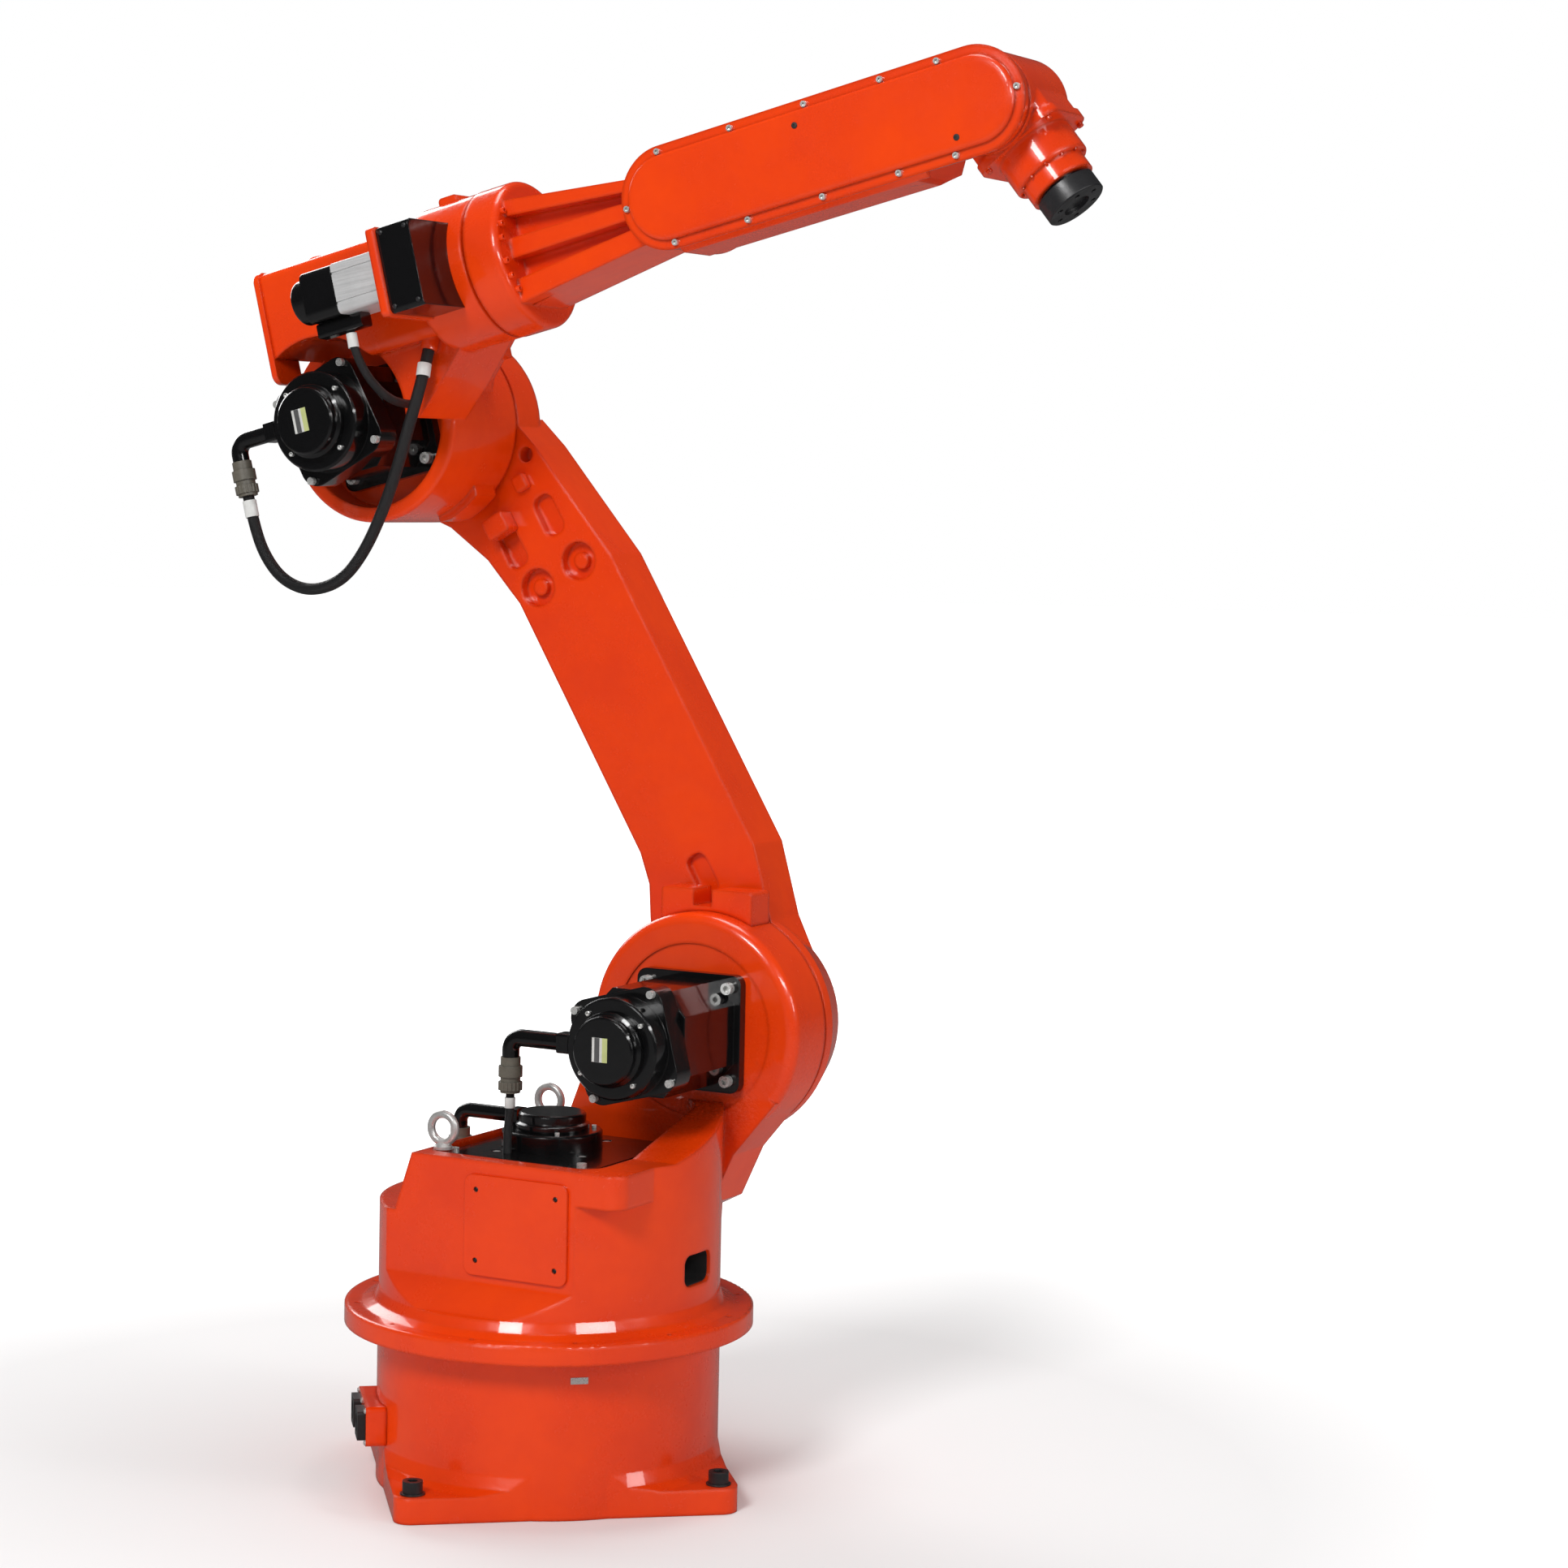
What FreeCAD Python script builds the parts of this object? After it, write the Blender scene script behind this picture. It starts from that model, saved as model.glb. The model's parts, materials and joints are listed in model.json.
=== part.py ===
"""Six-axis floor-mounted industrial robot arm at rest: lower arm leaning back, forearm raised, wrist bent down.

Millimetres, +Z up.  The origin is on the first axis, at the underside of the foot.  The foot's sides are parallel
to X and Y, and the cable connector box is on its -X side.  Each body is modelled in a frame of its own and placed
by its joint angle, so a changed angle or length carries everything after it.
"""
import FreeCAD
import Part
import math
import os

from FreeCAD import Placement, Rotation, Vector

X, Y, Z = Vector(1, 0, 0), Vector(0, 1, 0), Vector(0, 0, 1)

# ---------------------------------------------------------------- joint angles at rest, degrees
TURN = -39.0            # joint 1: the column about Z, from the foot's +X
LEAN = -31.0            # joint 2: the lower arm from upright, forward positive
PITCH = 14.4            # joint 3: the forearm's axis above the horizontal
BEND = 65.0             # joint 5: the wrist below the forearm's axis

# ---------------------------------------------------------------- clearances
GAP = 5.0               # between two bodies that turn past each other
FIT = 0.3               # round a bearing spigot
SEAT = 0.3              # under a piece seated on a round face
LOOSE = 0.8             # round a screw

# ---------------------------------------------------------------- base
FOOT = 506.0            # side of the square foot
FOOT_THICK = 38.0
FOOT_CORNER = 26.0
BOLT_SQUARE = 450.0
FOOT_BOLT_R = 10.0
BASE_R = 259.0
BASE_TOP = 235.0
SPIGOT_R = 200.0
BOX_SIDE = 140.0        # connector box
BOX_LOW, BOX_HIGH = 66.0, 126.0
BOX_PROUD = 22.0
SOCKET_SPREAD = 38.0    # the two cable sockets, from the box's middle

# ---------------------------------------------------------------- column
RIM_R = 309.0
RIM_THICK = 30.0
RIM_BOTTOM = BASE_TOP + GAP
RIM_TOP = RIM_BOTTOM + RIM_THICK
RIM_HOLES = 289.0       # radius of the rim's hole circle
DRUM_R = 258.0
DRUM_TOP = 424.0        # the round body behind the box
HOUSE_TOP = 512.0       # the box's top edge
HOUSE_NEAR = 200.0      # its flat side, from joint 1
HOUSE_REAR = 148.0
HOUSE_FRONT = 176.0     # the well's front wall
WALL = 30.0
WELL_FLOOR = 316.0
WELL_BOSS_R = 128.0     # the joint 1 motor's seat
TURN_MOTOR_SEAT = WELL_FLOOR + 14
SHOULDER_X = 155.0      # joint 2 in front of joint 1
SHOULDER_Z = 677.0      # joint 2 above the floor
SHOULDER_R = 178.0
SHOULDER_NEAR = 148.0   # the disc's motor face, along Y
SHOULDER_FAR = 245.0    # the disc's arm face, along Y
SHOULDER_MOTOR_SEAT = SHOULDER_NEAR + 3
REDUCER_R = 118.0       # the reducers' output hubs on the lower arm
REDUCER_DEEP = 36.0
EYE_X, EYE_Y = 98.0, 150.0

# ---------------------------------------------------------------- lower arm
LOWER_ARM = 1061.0      # joint 2 to joint 3
ARM_THICK = 102.0
ARM_BACK = -4.0         # the beam's rear edge, from the joint line
ARM_FRONT = 181.0       # the beam's front edge, from the joint line
ARM_FOOT_R = 147.0      # the outer end of the shoulder cone
ARM_NEAR = SHOULDER_FAR + GAP
ARM_FAR = ARM_NEAR + ARM_THICK
DIMPLES = (38, 124)     # two round bosses in recesses, along X

# ---------------------------------------------------------------- elbow
ELBOW_R = 153.0
ELBOW_RIM = 23.0        # wall round the motor's pocket
ELBOW_NEAR = 66.0       # the drum's motor rim, along Y
ELBOW_FLOOR = 115.0     # the pocket's floor, along Y
ELBOW_RISE = 161.0      # joint 4 above joint 3
BARREL_R = 111.0        # housing of joint 4
RING_START = 336.0      # joint 4's seam, along the forearm
RING_END = 394.0
TAIL_REAR = -64.0
TAIL_HALF = 62.0
TAIL_LOW, TAIL_HIGH = 78.0, 247.0
TAIL_LID = 12.0
ROLL_SPIGOT_R = 96.0
ROLL_Y = -150.0         # joint 4's motor axis, along Y
ROLL_PLATE = (235.0, 249.0)     # the flange that carries it
ROLL_HALF = 38.0        # the motor's half width
ROLL_FOOT = 60.0        # the motor's connector foot below its axis

# ---------------------------------------------------------------- forearm and wrist
FOREARM = 1175.0        # joint 3 to joint 5, along the forearm
WRIST = 177.0           # joint 5 to the tool face
COVER_R = 75.0
COVER_START = 680.0     # centre of the cover's rear round end
SIDE = 96.0             # the forearm's near face, without its cover
COVER_THICK = 5.0
COVER_DOME = 9.0
FAR_SIDE = 55.0         # the body's far face
CHEEK_INNER = -80.0     # inner face of the cheek that carries the wrist
FORK_DEEP = 114.0       # the body's cut corners, behind joint 5
BODY_END = 1079.0       # the body's end face, along the forearm
# each rib of the neck: its lower and upper edge at the ring, then at the cover
NECK_RIBS = ((-80, -44, -48, -20), (-12, 18, -8, 16), (52, 76, 28, 44))
HUB_R = 72.0
PIVOT_R = 50.0
HAND_BLOCK = 72.0       # the wrist block's front face
HAND_RING = 118.0       # the barrel's step
HAND_R = 57.0
HAND_SCREWS = HAND_R - 5.5      # radius of the barrel's screw circle
TOOL_R = 44.0
TOOL_SPIGOT_R = 34.0
TOOL_THICK = 28.0
TOOL_HOLES = 31.5       # radius of the tool flange's hole circle

# ---------------------------------------------------------------- servo motors of joints 1, 2 and 3
MOTOR_SQUARE = 180.0
MOTOR_BODY = 158.0
MOTOR_FLANGE = 16.0
MOTOR_BOLTS = 141.4
MOTOR_SHIELD = 42.0
MOTOR_BELL_R = 76.0
MOTOR_BELL = 36.0
MOTOR_CAP_R = 51.0
MOTOR_CAP = 26.0
SHIELD_HALF = 80.0
SHIELD_TURN = 15.0      # the rear shield is turned on the stator
TIE_R = 94.0            # circle of the shield's tie screws
LONG_STATOR = 150.0     # joint 2
SHORT_STATOR = 107.0    # joints 1 and 3
SHOULDER_ELBOW = (184.0, 0.0)   # the connector's reach from the motor's axis, and its height over it
ELBOW_ELBOW = (158.0, 5.0)
ELBOW_DROP = 30.0       # from the connector's level to its plug
PLUG_DROP = 54.0
PLATE_LOW = TURN_MOTOR_SEAT + MOTOR_FLANGE + SHORT_STATOR + MOTOR_SHIELD    # the joint 1 motor's black plate
PLATE_HIGH = PLATE_LOW + 9.0
PLATE_SCREWS = [(x, y) for x in (-90, 132) for y in (-132, 102)]
TURN_CAP_LOW = PLATE_LOW + MOTOR_BELL
TURN_ELBOW = 13.0       # the joint 1 connector's level above the cap's underside
TURN_DROP = 28.0
TURN_REACH = 165.0

# ---------------------------------------------------------------- cables, as points from plug to seat
LEAD_R = 9.0
THIN_LEAD_R = 6.5
# joint 3 motor's lead, from its plug down in a loop and up to the neck's gland
ELBOW_LEAD = [(-158, -68, -79), (-158, -68, -124), (-146, -73, -176), (-115, -81, -222), (-64, -88, -250),
              (-2, -91, -247), (47, -90, -213), (90, -86, -162), (127, -80, -104), (158, -72, -44), (184, -58, 13),
              (199, -42, 62)]
GLAND_R = 13.0
GLAND_LENGTH = 70.0
# joint 4 motor's lead, from its foot down to the neck's near face
ROLL_LEAD = [(140, -150, 101), (140, -150, 72), (142, -134.8, 35), (144, -106.6, 7), (146, -69.8, -8),
             (146, -30, -8)]
# joint 2 motor's lead, from its plug down to the joint 1 motor's plate
SHOULDER_LEAD = [(-29, -75, 593), (-29, -75, 567), (-25, -87.4, 530), (-25, -87.4, PLATE_HIGH)]


# ---------------------------------------------------------------- shapes
def block(x0, x1, y0, y1, z0, z1):
    """A box between two corners."""
    return Part.makeBox(x1 - x0, y1 - y0, z1 - z0, Vector(x0, y0, z0))


def rod(r, start, end):
    """A round bar of radius r from start to end."""
    start, end = Vector(*start), Vector(*end)
    return Part.makeCylinder(r, (end - start).Length, start, end - start)


def plate(points, lift):
    """A plate raised from a closed outline along the vector lift."""
    return Part.Face(Part.makePolygon(points + points[:1])).extrude(lift)


def plate_xz(points, y0, y1):
    return plate([Vector(x, y0, z) for x, z in points], Vector(0, y1 - y0, 0))


def plate_yz(points, x0, x1):
    return plate([Vector(x0, y, z) for y, z in points], Vector(x1 - x0, 0, 0))


def turned(profile, axis, origin=(0, 0, 0)):
    """A solid turned from (radius, height) points, its height running along the axis."""
    points = [Vector(r, 0, h) for r, h in profile]
    solid = Part.Face(Part.makePolygon(points + points[:1])).revolve(Vector(), Z, 360)
    solid.Placement = Placement(Vector(*origin), Rotation(Z, axis))
    return solid


def fused(first, *others):
    return first.fuse(list(others)).removeSplitter()


def edges_along(shape, direction):
    """The straight edges that run along a direction."""
    found = []
    for edge in shape.Edges:
        if len(edge.Vertexes) == 2:
            run = edge.Vertexes[1].Point - edge.Vertexes[0].Point
            if run.Length > 0.1 and run.cross(direction).Length < 1e-4 * run.Length:
                found.append(edge)
    return found


def rounded_block(x0, x1, y0, y1, z0, z1, radius, direction):
    """A box whose edges along one direction are rounded."""
    solid = block(x0, x1, y0, y1, z0, z1)
    return solid.makeFillet(radius, edges_along(solid, direction))


def rim_edges(shape, axis, height):
    """The closed edges round a turned solid at a height along its axis."""
    return [e for e in shape.Edges if e.Closed and abs(e.CenterOfMass.dot(axis) - height) < 0.01]


def racetrack(x0, x1, r, y0, y1):
    """A plate along X with two round ends, centred on z = 0."""
    ends = [rod(r, (x, y0, 0), (x, y1, 0)) for x in (x0, x1)]
    return fused(block(x0, x1, y0, y1, -r, r), *ends)


def on_circle(radius, count, start=0.0):
    """Points evenly spaced round a circle."""
    turns = [math.radians(start + 360.0 * k / count) for k in range(count)]
    return [(radius * math.cos(t), radius * math.sin(t)) for t in turns]


def corners(square):
    reach = square / 2
    return [(a, b) for a in (-reach, reach) for b in (-reach, reach)]


def moved(shape, x=0.0, y=0.0, z=0.0):
    copy = shape.copy()
    copy.Placement = Placement(Vector(x, y, z), Rotation()).multiply(copy.Placement)
    return copy


def tube(points, r, bend):
    """A round tube through points, with every corner rounded to one bend radius."""
    points = [Vector(*p) for p in points]
    runs = []
    start = points[0]
    for before, corner, after in zip(points, points[1:], points[2:]):
        into, out = (corner - before).normalize(), (after - corner).normalize()
        half = into.getAngle(out) / 2
        cut = bend * math.tan(half)
        middle = corner + (out - into).normalize() * (bend / math.cos(half) - bend)
        enter, leave = corner - into * cut, corner + out * cut
        runs += [Part.LineSegment(start, enter).toShape(), Part.Arc(enter, middle, leave).toShape()]
        start = leave
    wire = Part.Wire(runs + [Part.LineSegment(start, points[-1]).toShape()])
    circle = Part.Wire(Part.Circle(points[0], points[1] - points[0], r).toShape())
    return wire.makePipeShell([circle], True, False)


def compound(solids):
    """Like pieces that share a node without touching."""
    return Part.makeCompound(solids)


def cap_screw(r, head_r, head, shank):
    """A socket head screw: seat at z = 0, head above, shank below."""
    screw = fused(rod(head_r, (0, 0, 0), (0, 0, head)), rod(r, (0, 0, -shank), (0, 0, 0)))
    hexagon = [Vector(x, y, head * 0.45) for x, y in on_circle(head_r * 0.55, 6)]
    return screw.cut(plate(hexagon, Vector(0, 0, head)))


# ---------------------------------------------------------------- the bodies' frames
GROUND = Placement()
COLUMN = Placement(Vector(), Rotation(Z, TURN))
SHOULDER = Vector(SHOULDER_X, 0, SHOULDER_Z)
LOWER = COLUMN.multiply(Placement(SHOULDER, Rotation(Y, LEAN)))
ELBOW = SHOULDER + Rotation(Y, LEAN).multVec(Vector(0, 0, LOWER_ARM))
UPPER = COLUMN.multiply(Placement(ELBOW, Rotation(Y, -PITCH)))
FORE = UPPER.multiply(Placement(Vector(0, 0, ELBOW_RISE), Rotation()))
HAND = FORE.multiply(Placement(Vector(FOREARM, 0, 0), Rotation(Y, BEND)))


# ---------------------------------------------------------------- base
def base_casting():
    half = FOOT / 2
    foot = rounded_block(-half, half, -half, half, 0, FOOT_THICK, FOOT_CORNER, Z)
    barrel = rod(BASE_R, (0, 0, 0), (0, 0, BASE_TOP))
    skirt = turned([(0, 0), (BASE_R + 26, 0), (BASE_R + 26, FOOT_THICK), (BASE_R + 8, FOOT_THICK + 7),
                    (BASE_R, FOOT_THICK + 26), (0, FOOT_THICK + 26)], Z)
    skirt = skirt.common(rounded_block(-half, half, -half, half, 0, BASE_TOP, FOOT_CORNER, Z))
    spigot = rod(SPIGOT_R, (0, 0, BASE_TOP - 10), (0, 0, RIM_BOTTOM + RIM_THICK))
    body = fused(barrel, foot, skirt, spigot)
    hole_r = FOOT_BOLT_R + LOOSE
    holes = [rod(hole_r, (x, y, -1), (x, y, FOOT_THICK + 1)) for x, y in corners(BOLT_SQUARE)]
    seats = [rod(FOOT_BOLT_R * 2, (x, y, FOOT_THICK), (x, y, FOOT_THICK + 40)) for x, y in corners(BOLT_SQUARE)]
    return body.cut(holes + seats)


def foot_bolts():
    bolt = cap_screw(FOOT_BOLT_R, FOOT_BOLT_R * 1.5, 20, FOOT_THICK - 4)
    return compound([moved(bolt, x, y, FOOT_THICK) for x, y in corners(BOLT_SQUARE)])


def connector_box():
    half = BOX_SIDE / 2
    box = rounded_block(-BASE_R - BOX_PROUD, -BASE_R * 0.9, -half, half, BOX_LOW, BOX_HIGH, 8, X)
    return box.cut(rod(BASE_R + SEAT, (0, 0, 0), (0, 0, BASE_TOP)))


def base_sockets():
    """Two square connector hoods on the box's outer face."""
    face = -BASE_R - BOX_PROUD
    middle = (BOX_LOW + BOX_HIGH) / 2
    hoods = []
    for y in (-SOCKET_SPREAD, SOCKET_SPREAD):
        hood = rounded_block(face - 12, face, y - 24, y + 24, middle - 22, middle + 22, 5, X)
        hoods.append(hood.cut(rod(15, (face - 13, y, middle), (face - 5, y, middle))))
    return compound(hoods)


def travel_stop():
    """The rubber block on the base's front that ends joint 1's travel."""
    stop = rounded_block(BASE_R * 0.9, BASE_R + 14, -16, 16, BASE_TOP - 34, BASE_TOP - 2, 6, X)
    return stop.cut(rod(BASE_R + SEAT, (0, 0, 0), (0, 0, BASE_TOP)))


# ---------------------------------------------------------------- column
def column_drum():
    """The round lower body, cut flat on its near side and low at the rear."""
    high = SHOULDER_Z
    drum = rod(DRUM_R, (0, 0, RIM_TOP), (0, 0, high))
    wide = DRUM_R + 1
    slope = plate_yz([(-wide, HOUSE_TOP), (-60, HOUSE_TOP), (SHOULDER_NEAR, HOUSE_TOP + 58),
                      (SHOULDER_NEAR, high), (-wide, high)], -wide, wide)
    far = block(-wide, wide, SHOULDER_NEAR, wide, DRUM_TOP, high)
    rear = block(-wide, -HOUSE_REAR, -wide, wide, DRUM_TOP, high)
    chamfer = plate_xz([(-HOUSE_REAR - 1, DRUM_TOP), (-EYE_X - 22, HOUSE_TOP), (-EYE_X - 22, high),
                        (-HOUSE_REAR - 1, high)], -wide, wide)
    left_top = block(-HOUSE_REAR - 1, 0, -wide, wide, HOUSE_TOP, high)
    flat = plate_yz([(-wide, RIM_TOP + 10), (-HOUSE_NEAR, RIM_TOP + 62), (-HOUSE_NEAR, high), (-wide, high)],
                    -wide, SHOULDER_X + 50)
    return drum.cut([slope, far, rear, chamfer, left_top, flat])


def shoulder_bracket():
    """The wall that rises on the far side and ends in the shoulder disc."""
    left = SHOULDER_X - SHOULDER_R
    wall = plate_xz([(-140, RIM_TOP), (-140, DRUM_TOP), (-120, HOUSE_TOP), (left - 44, HOUSE_TOP),
                     (left - 8, SHOULDER_Z - 70), (left, SHOULDER_Z), (SHOULDER_X, SHOULDER_Z),
                     (SHOULDER_X + 146, SHOULDER_Z - 101), (SHOULDER_X + 76, SHOULDER_Z - 186),
                     (SHOULDER_X + 40, SHOULDER_Z - 265), (SHOULDER_X + 6, DRUM_TOP - 30), (SHOULDER_X, RIM_TOP)],
                    SHOULDER_NEAR, SHOULDER_FAR)
    disc = rod(SHOULDER_R, (0, SHOULDER_NEAR, 0), (0, SHOULDER_FAR, 0))
    disc = disc.makeFillet(16, rim_edges(disc, Y, SHOULDER_NEAR))
    return fused(wall, moved(disc, SHOULDER_X, 0, SHOULDER_Z))


def column_casting():
    """Rim, drum and box, open at the top for the joint 1 motor."""
    rim = rod(RIM_R, (0, 0, RIM_BOTTOM), (0, 0, RIM_TOP))
    rim = rim.makeFillet(4, rim_edges(rim, Z, RIM_TOP))
    skirt = turned([(0, RIM_TOP - 5), (DRUM_R + 24, RIM_TOP - 5), (DRUM_R + 24, RIM_TOP), (DRUM_R + 7, RIM_TOP + 7),
                    (DRUM_R, RIM_TOP + 22), (0, RIM_TOP + 22)], Z)
    nose = rounded_block(SHOULDER_X - 40, SHOULDER_X + 82, -HOUSE_NEAR, -60, HOUSE_TOP - 50, HOUSE_TOP, 26, Z)
    pads = [rod(21, (-EYE_X, y, DRUM_TOP - 60), (-EYE_X, y, HOUSE_TOP)) for y in (-EYE_Y, EYE_Y)]
    body = fused(rim, skirt, column_drum(), shoulder_bracket(), nose, *pads)
    well = rounded_block(WALL - HOUSE_REAR, HOUSE_FRONT, WALL - HOUSE_NEAR, SHOULDER_NEAR, WELL_FLOOR, SHOULDER_Z,
                         34, Z)
    boss = rod(WELL_BOSS_R, (0, 0, WELL_FLOOR - 2), (0, 0, TURN_MOTOR_SEAT))
    bore = rod(SPIGOT_R + FIT, (0, 0, RIM_BOTTOM - 1), (0, 0, RIM_TOP + GAP))
    hub = rod(REDUCER_R + FIT, (SHOULDER_X, SHOULDER_FAR - REDUCER_DEEP - 4, SHOULDER_Z),
              (SHOULDER_X, SHOULDER_FAR + 1, SHOULDER_Z))
    seat = rod(132, (SHOULDER_X, SHOULDER_NEAR - 1, SHOULDER_Z), (SHOULDER_X, SHOULDER_MOTOR_SEAT, SHOULDER_Z))
    window = rounded_block(HOUSE_FRONT - 4, DRUM_R + 5, -38, 38, 323, 371, 14, X)
    holes = [rod(3.5, (x, y, RIM_BOTTOM - 1), (x, y, RIM_TOP + 1)) for x, y in on_circle(RIM_HOLES, 12, 9)]
    return fused(body.cut([well, bore, hub, seat, window] + holes), boss)


def turn_motor_plate():
    """The black plate round the joint 1 motor's bell, level with the well's mouth."""
    board = rounded_block(-108, 150, -150, 120, PLATE_LOW, PLATE_HIGH, 20, Z)
    room = [rod(r + 2, (x, y, PLATE_LOW - 1), (x, y, PLATE_HIGH + 1))
            for r, places in ((6, on_circle(TIE_R, 4, 45 + SHIELD_TURN)), (4, PLATE_SCREWS))
            for x, y in places]
    return board.cut([rod(MOTOR_BELL_R + SEAT, (0, 0, PLATE_LOW - 1), (0, 0, PLATE_HIGH + 1))] + room)


def turn_plate_screws():
    screw = cap_screw(4, 7.5, 8, PLATE_HIGH - PLATE_LOW)
    return [moved(screw, x, y, PLATE_HIGH) for x, y in PLATE_SCREWS]


def turn_connector():
    """The black elbow from the joint 1 motor's cap, over the well's rear edge."""
    level = TURN_CAP_LOW + TURN_ELBOW
    start = -math.sqrt((MOTOR_CAP_R + 5) ** 2 - 15 ** 2)
    foot = rounded_block(start - 16, start + 12, -15, 15, level - 12, level + 12, 4, X)
    elbow = tube([(start - 6, 0, level), (-TURN_REACH, 0, level), (-TURN_REACH, 0, level - TURN_DROP)], 11, 18)
    return fused(foot, elbow).cut(rod(MOTOR_CAP_R + 5 + SEAT, (0, 0, 0), (0, 0, SHOULDER_Z)))


def turn_plug():
    return moved(plug(PLUG_DROP), -TURN_REACH, 0, TURN_CAP_LOW + TURN_ELBOW - TURN_DROP)


def side_cover():
    """The access plate on the column's flat side, with its four screw holes."""
    near = -HOUSE_NEAR
    cover = rounded_block(-24, 152, near - 5, near, 343, 492, 14, Y)
    return cover.cut([rod(4, (x, near - 6, z), (x, near + 1, z)) for x in (-4, 132) for z in (365, 470)])


def eyebolt():
    """A lifting eye: flat collar at z = 0 and the ring above it."""
    ring_r, wire = 21.0, 6.0
    collar = turned([(0, 0), (14, 0), (14, 4), (8, 9), (0, 9)], Z)
    ring = Part.makeTorus(ring_r, wire, Vector(0, 0, ring_r + wire + 4), Y)
    return fused(collar, ring)


def eyebolts():
    return compound([moved(eyebolt(), -EYE_X, y, HOUSE_TOP) for y in (-EYE_Y, EYE_Y)])


def shoulder_stop():
    """The grooved stop block on top of the shoulder disc."""
    stop = rounded_block(76, 234, SHOULDER_FAR - 60, SHOULDER_FAR - 4, 800, 888, 5, Y)
    groove = block(132, 164, SHOULDER_FAR - 61, SHOULDER_FAR, 862, 900)
    disc = rod(SHOULDER_R + SEAT, (SHOULDER_X, SHOULDER_NEAR, SHOULDER_Z), (SHOULDER_X, SHOULDER_FAR, SHOULDER_Z))
    return stop.cut([groove, disc])


# ---------------------------------------------------------------- servo motors, seated at y = 0, towards -Y
def servo_stator(length):
    """The square flange and the stator housing with its scooped corners."""
    half = MOTOR_SQUARE / 2
    flange = rounded_block(-half, half, -MOTOR_FLANGE, 0, -half, half, 16, Y)
    half = MOTOR_BODY / 2
    stator = block(-half, half, -MOTOR_FLANGE - length, -MOTOR_FLANGE, -half, half)
    stator = stator.makeChamfer(34, edges_along(stator, Y))
    holes = [rod(6 + LOOSE, (x, -MOTOR_FLANGE - 1, z), (x, 1, z)) for x, z in corners(MOTOR_BOLTS)]
    room = [rod(12, (x, -MOTOR_FLANGE - length - 1, z), (x, -MOTOR_FLANGE, z)) for x, z in corners(MOTOR_BOLTS)]
    return fused(flange, stator).cut(holes + room)


def servo_shield(length):
    """The rear end shield, turned on the stator, and the round bell behind it."""
    start = -MOTOR_FLANGE - length
    half = SHIELD_HALF
    shield = rounded_block(-half, half, start - MOTOR_SHIELD, start, -half, half, 30, Y)
    shield.rotate(Vector(), Y, -SHIELD_TURN)
    back = start - MOTOR_SHIELD
    bell = turned([(0, 0), (MOTOR_BELL_R, 0), (MOTOR_BELL_R, MOTOR_BELL - 3), (MOTOR_BELL_R - 3, MOTOR_BELL),
                   (0, MOTOR_BELL)], -Y, (0, back, 0))
    return fused(shield, bell)


def servo_cap(length):
    """The encoder cap on the bell."""
    start = -MOTOR_FLANGE - length - MOTOR_SHIELD - MOTOR_BELL
    return turned([(0, 0), (MOTOR_CAP_R + 5, 0), (MOTOR_CAP_R + 5, 9), (MOTOR_CAP_R, 12), (MOTOR_CAP_R, MOTOR_CAP - 3),
                   (MOTOR_CAP_R - 3, MOTOR_CAP), (0, MOTOR_CAP)], -Y, (0, start, 0))


def servo_bolts(length):
    """Four flange screws, and the four tie screws of the turned shield."""
    flange_screw = cap_screw(6, 9, 12, MOTOR_FLANGE)
    tie_screw = rod(6, (0, 0, 0), (0, 0, 8))
    out = Rotation(X, 90)
    screws = []
    for x, z in corners(MOTOR_BOLTS):
        screw = flange_screw.copy()
        screw.Placement = Placement(Vector(x, -MOTOR_FLANGE, z), out)
        screws.append(screw)
    back = -MOTOR_FLANGE - length - MOTOR_SHIELD
    for x, z in on_circle(TIE_R, 4, 45 + SHIELD_TURN):
        screw = tie_screw.copy()
        screw.Placement = Placement(Vector(x, back, z), out)
        screws.append(screw)
    return screws


def plug(drop):
    """A round cable plug hanging from z = 0, with its coupling ring."""
    return fused(rod(15, (0, 0, -drop), (0, 0, 0)), rod(18, (0, 0, -drop * 0.55), (0, 0, -drop * 0.25)))


def servo_connector(length, reach, rise):
    """The black elbow that leaves the bell's side towards -X and turns down."""
    middle = -MOTOR_FLANGE - length - MOTOR_SHIELD - MOTOR_BELL / 2
    start = -math.sqrt((MOTOR_BELL_R + 0.1) ** 2 - 17 ** 2 - rise ** 2)
    foot = rounded_block(start - 22, start + 14, middle - 15, middle + 15, rise - 15, rise + 15, 4, X)
    elbow = tube([(start - 10, middle, rise), (-reach, middle, rise), (-reach, middle, rise - ELBOW_DROP)], 13, 20)
    body = fused(foot, elbow)
    return body.cut(rod(MOTOR_BELL_R + SEAT, (0, middle - 40, 0), (0, middle + 40, 0)))


def servo_plug(length, reach, rise):
    middle = -MOTOR_FLANGE - length - MOTOR_SHIELD - MOTOR_BELL / 2
    return moved(plug(PLUG_DROP), -reach, middle, rise - ELBOW_DROP)


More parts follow.
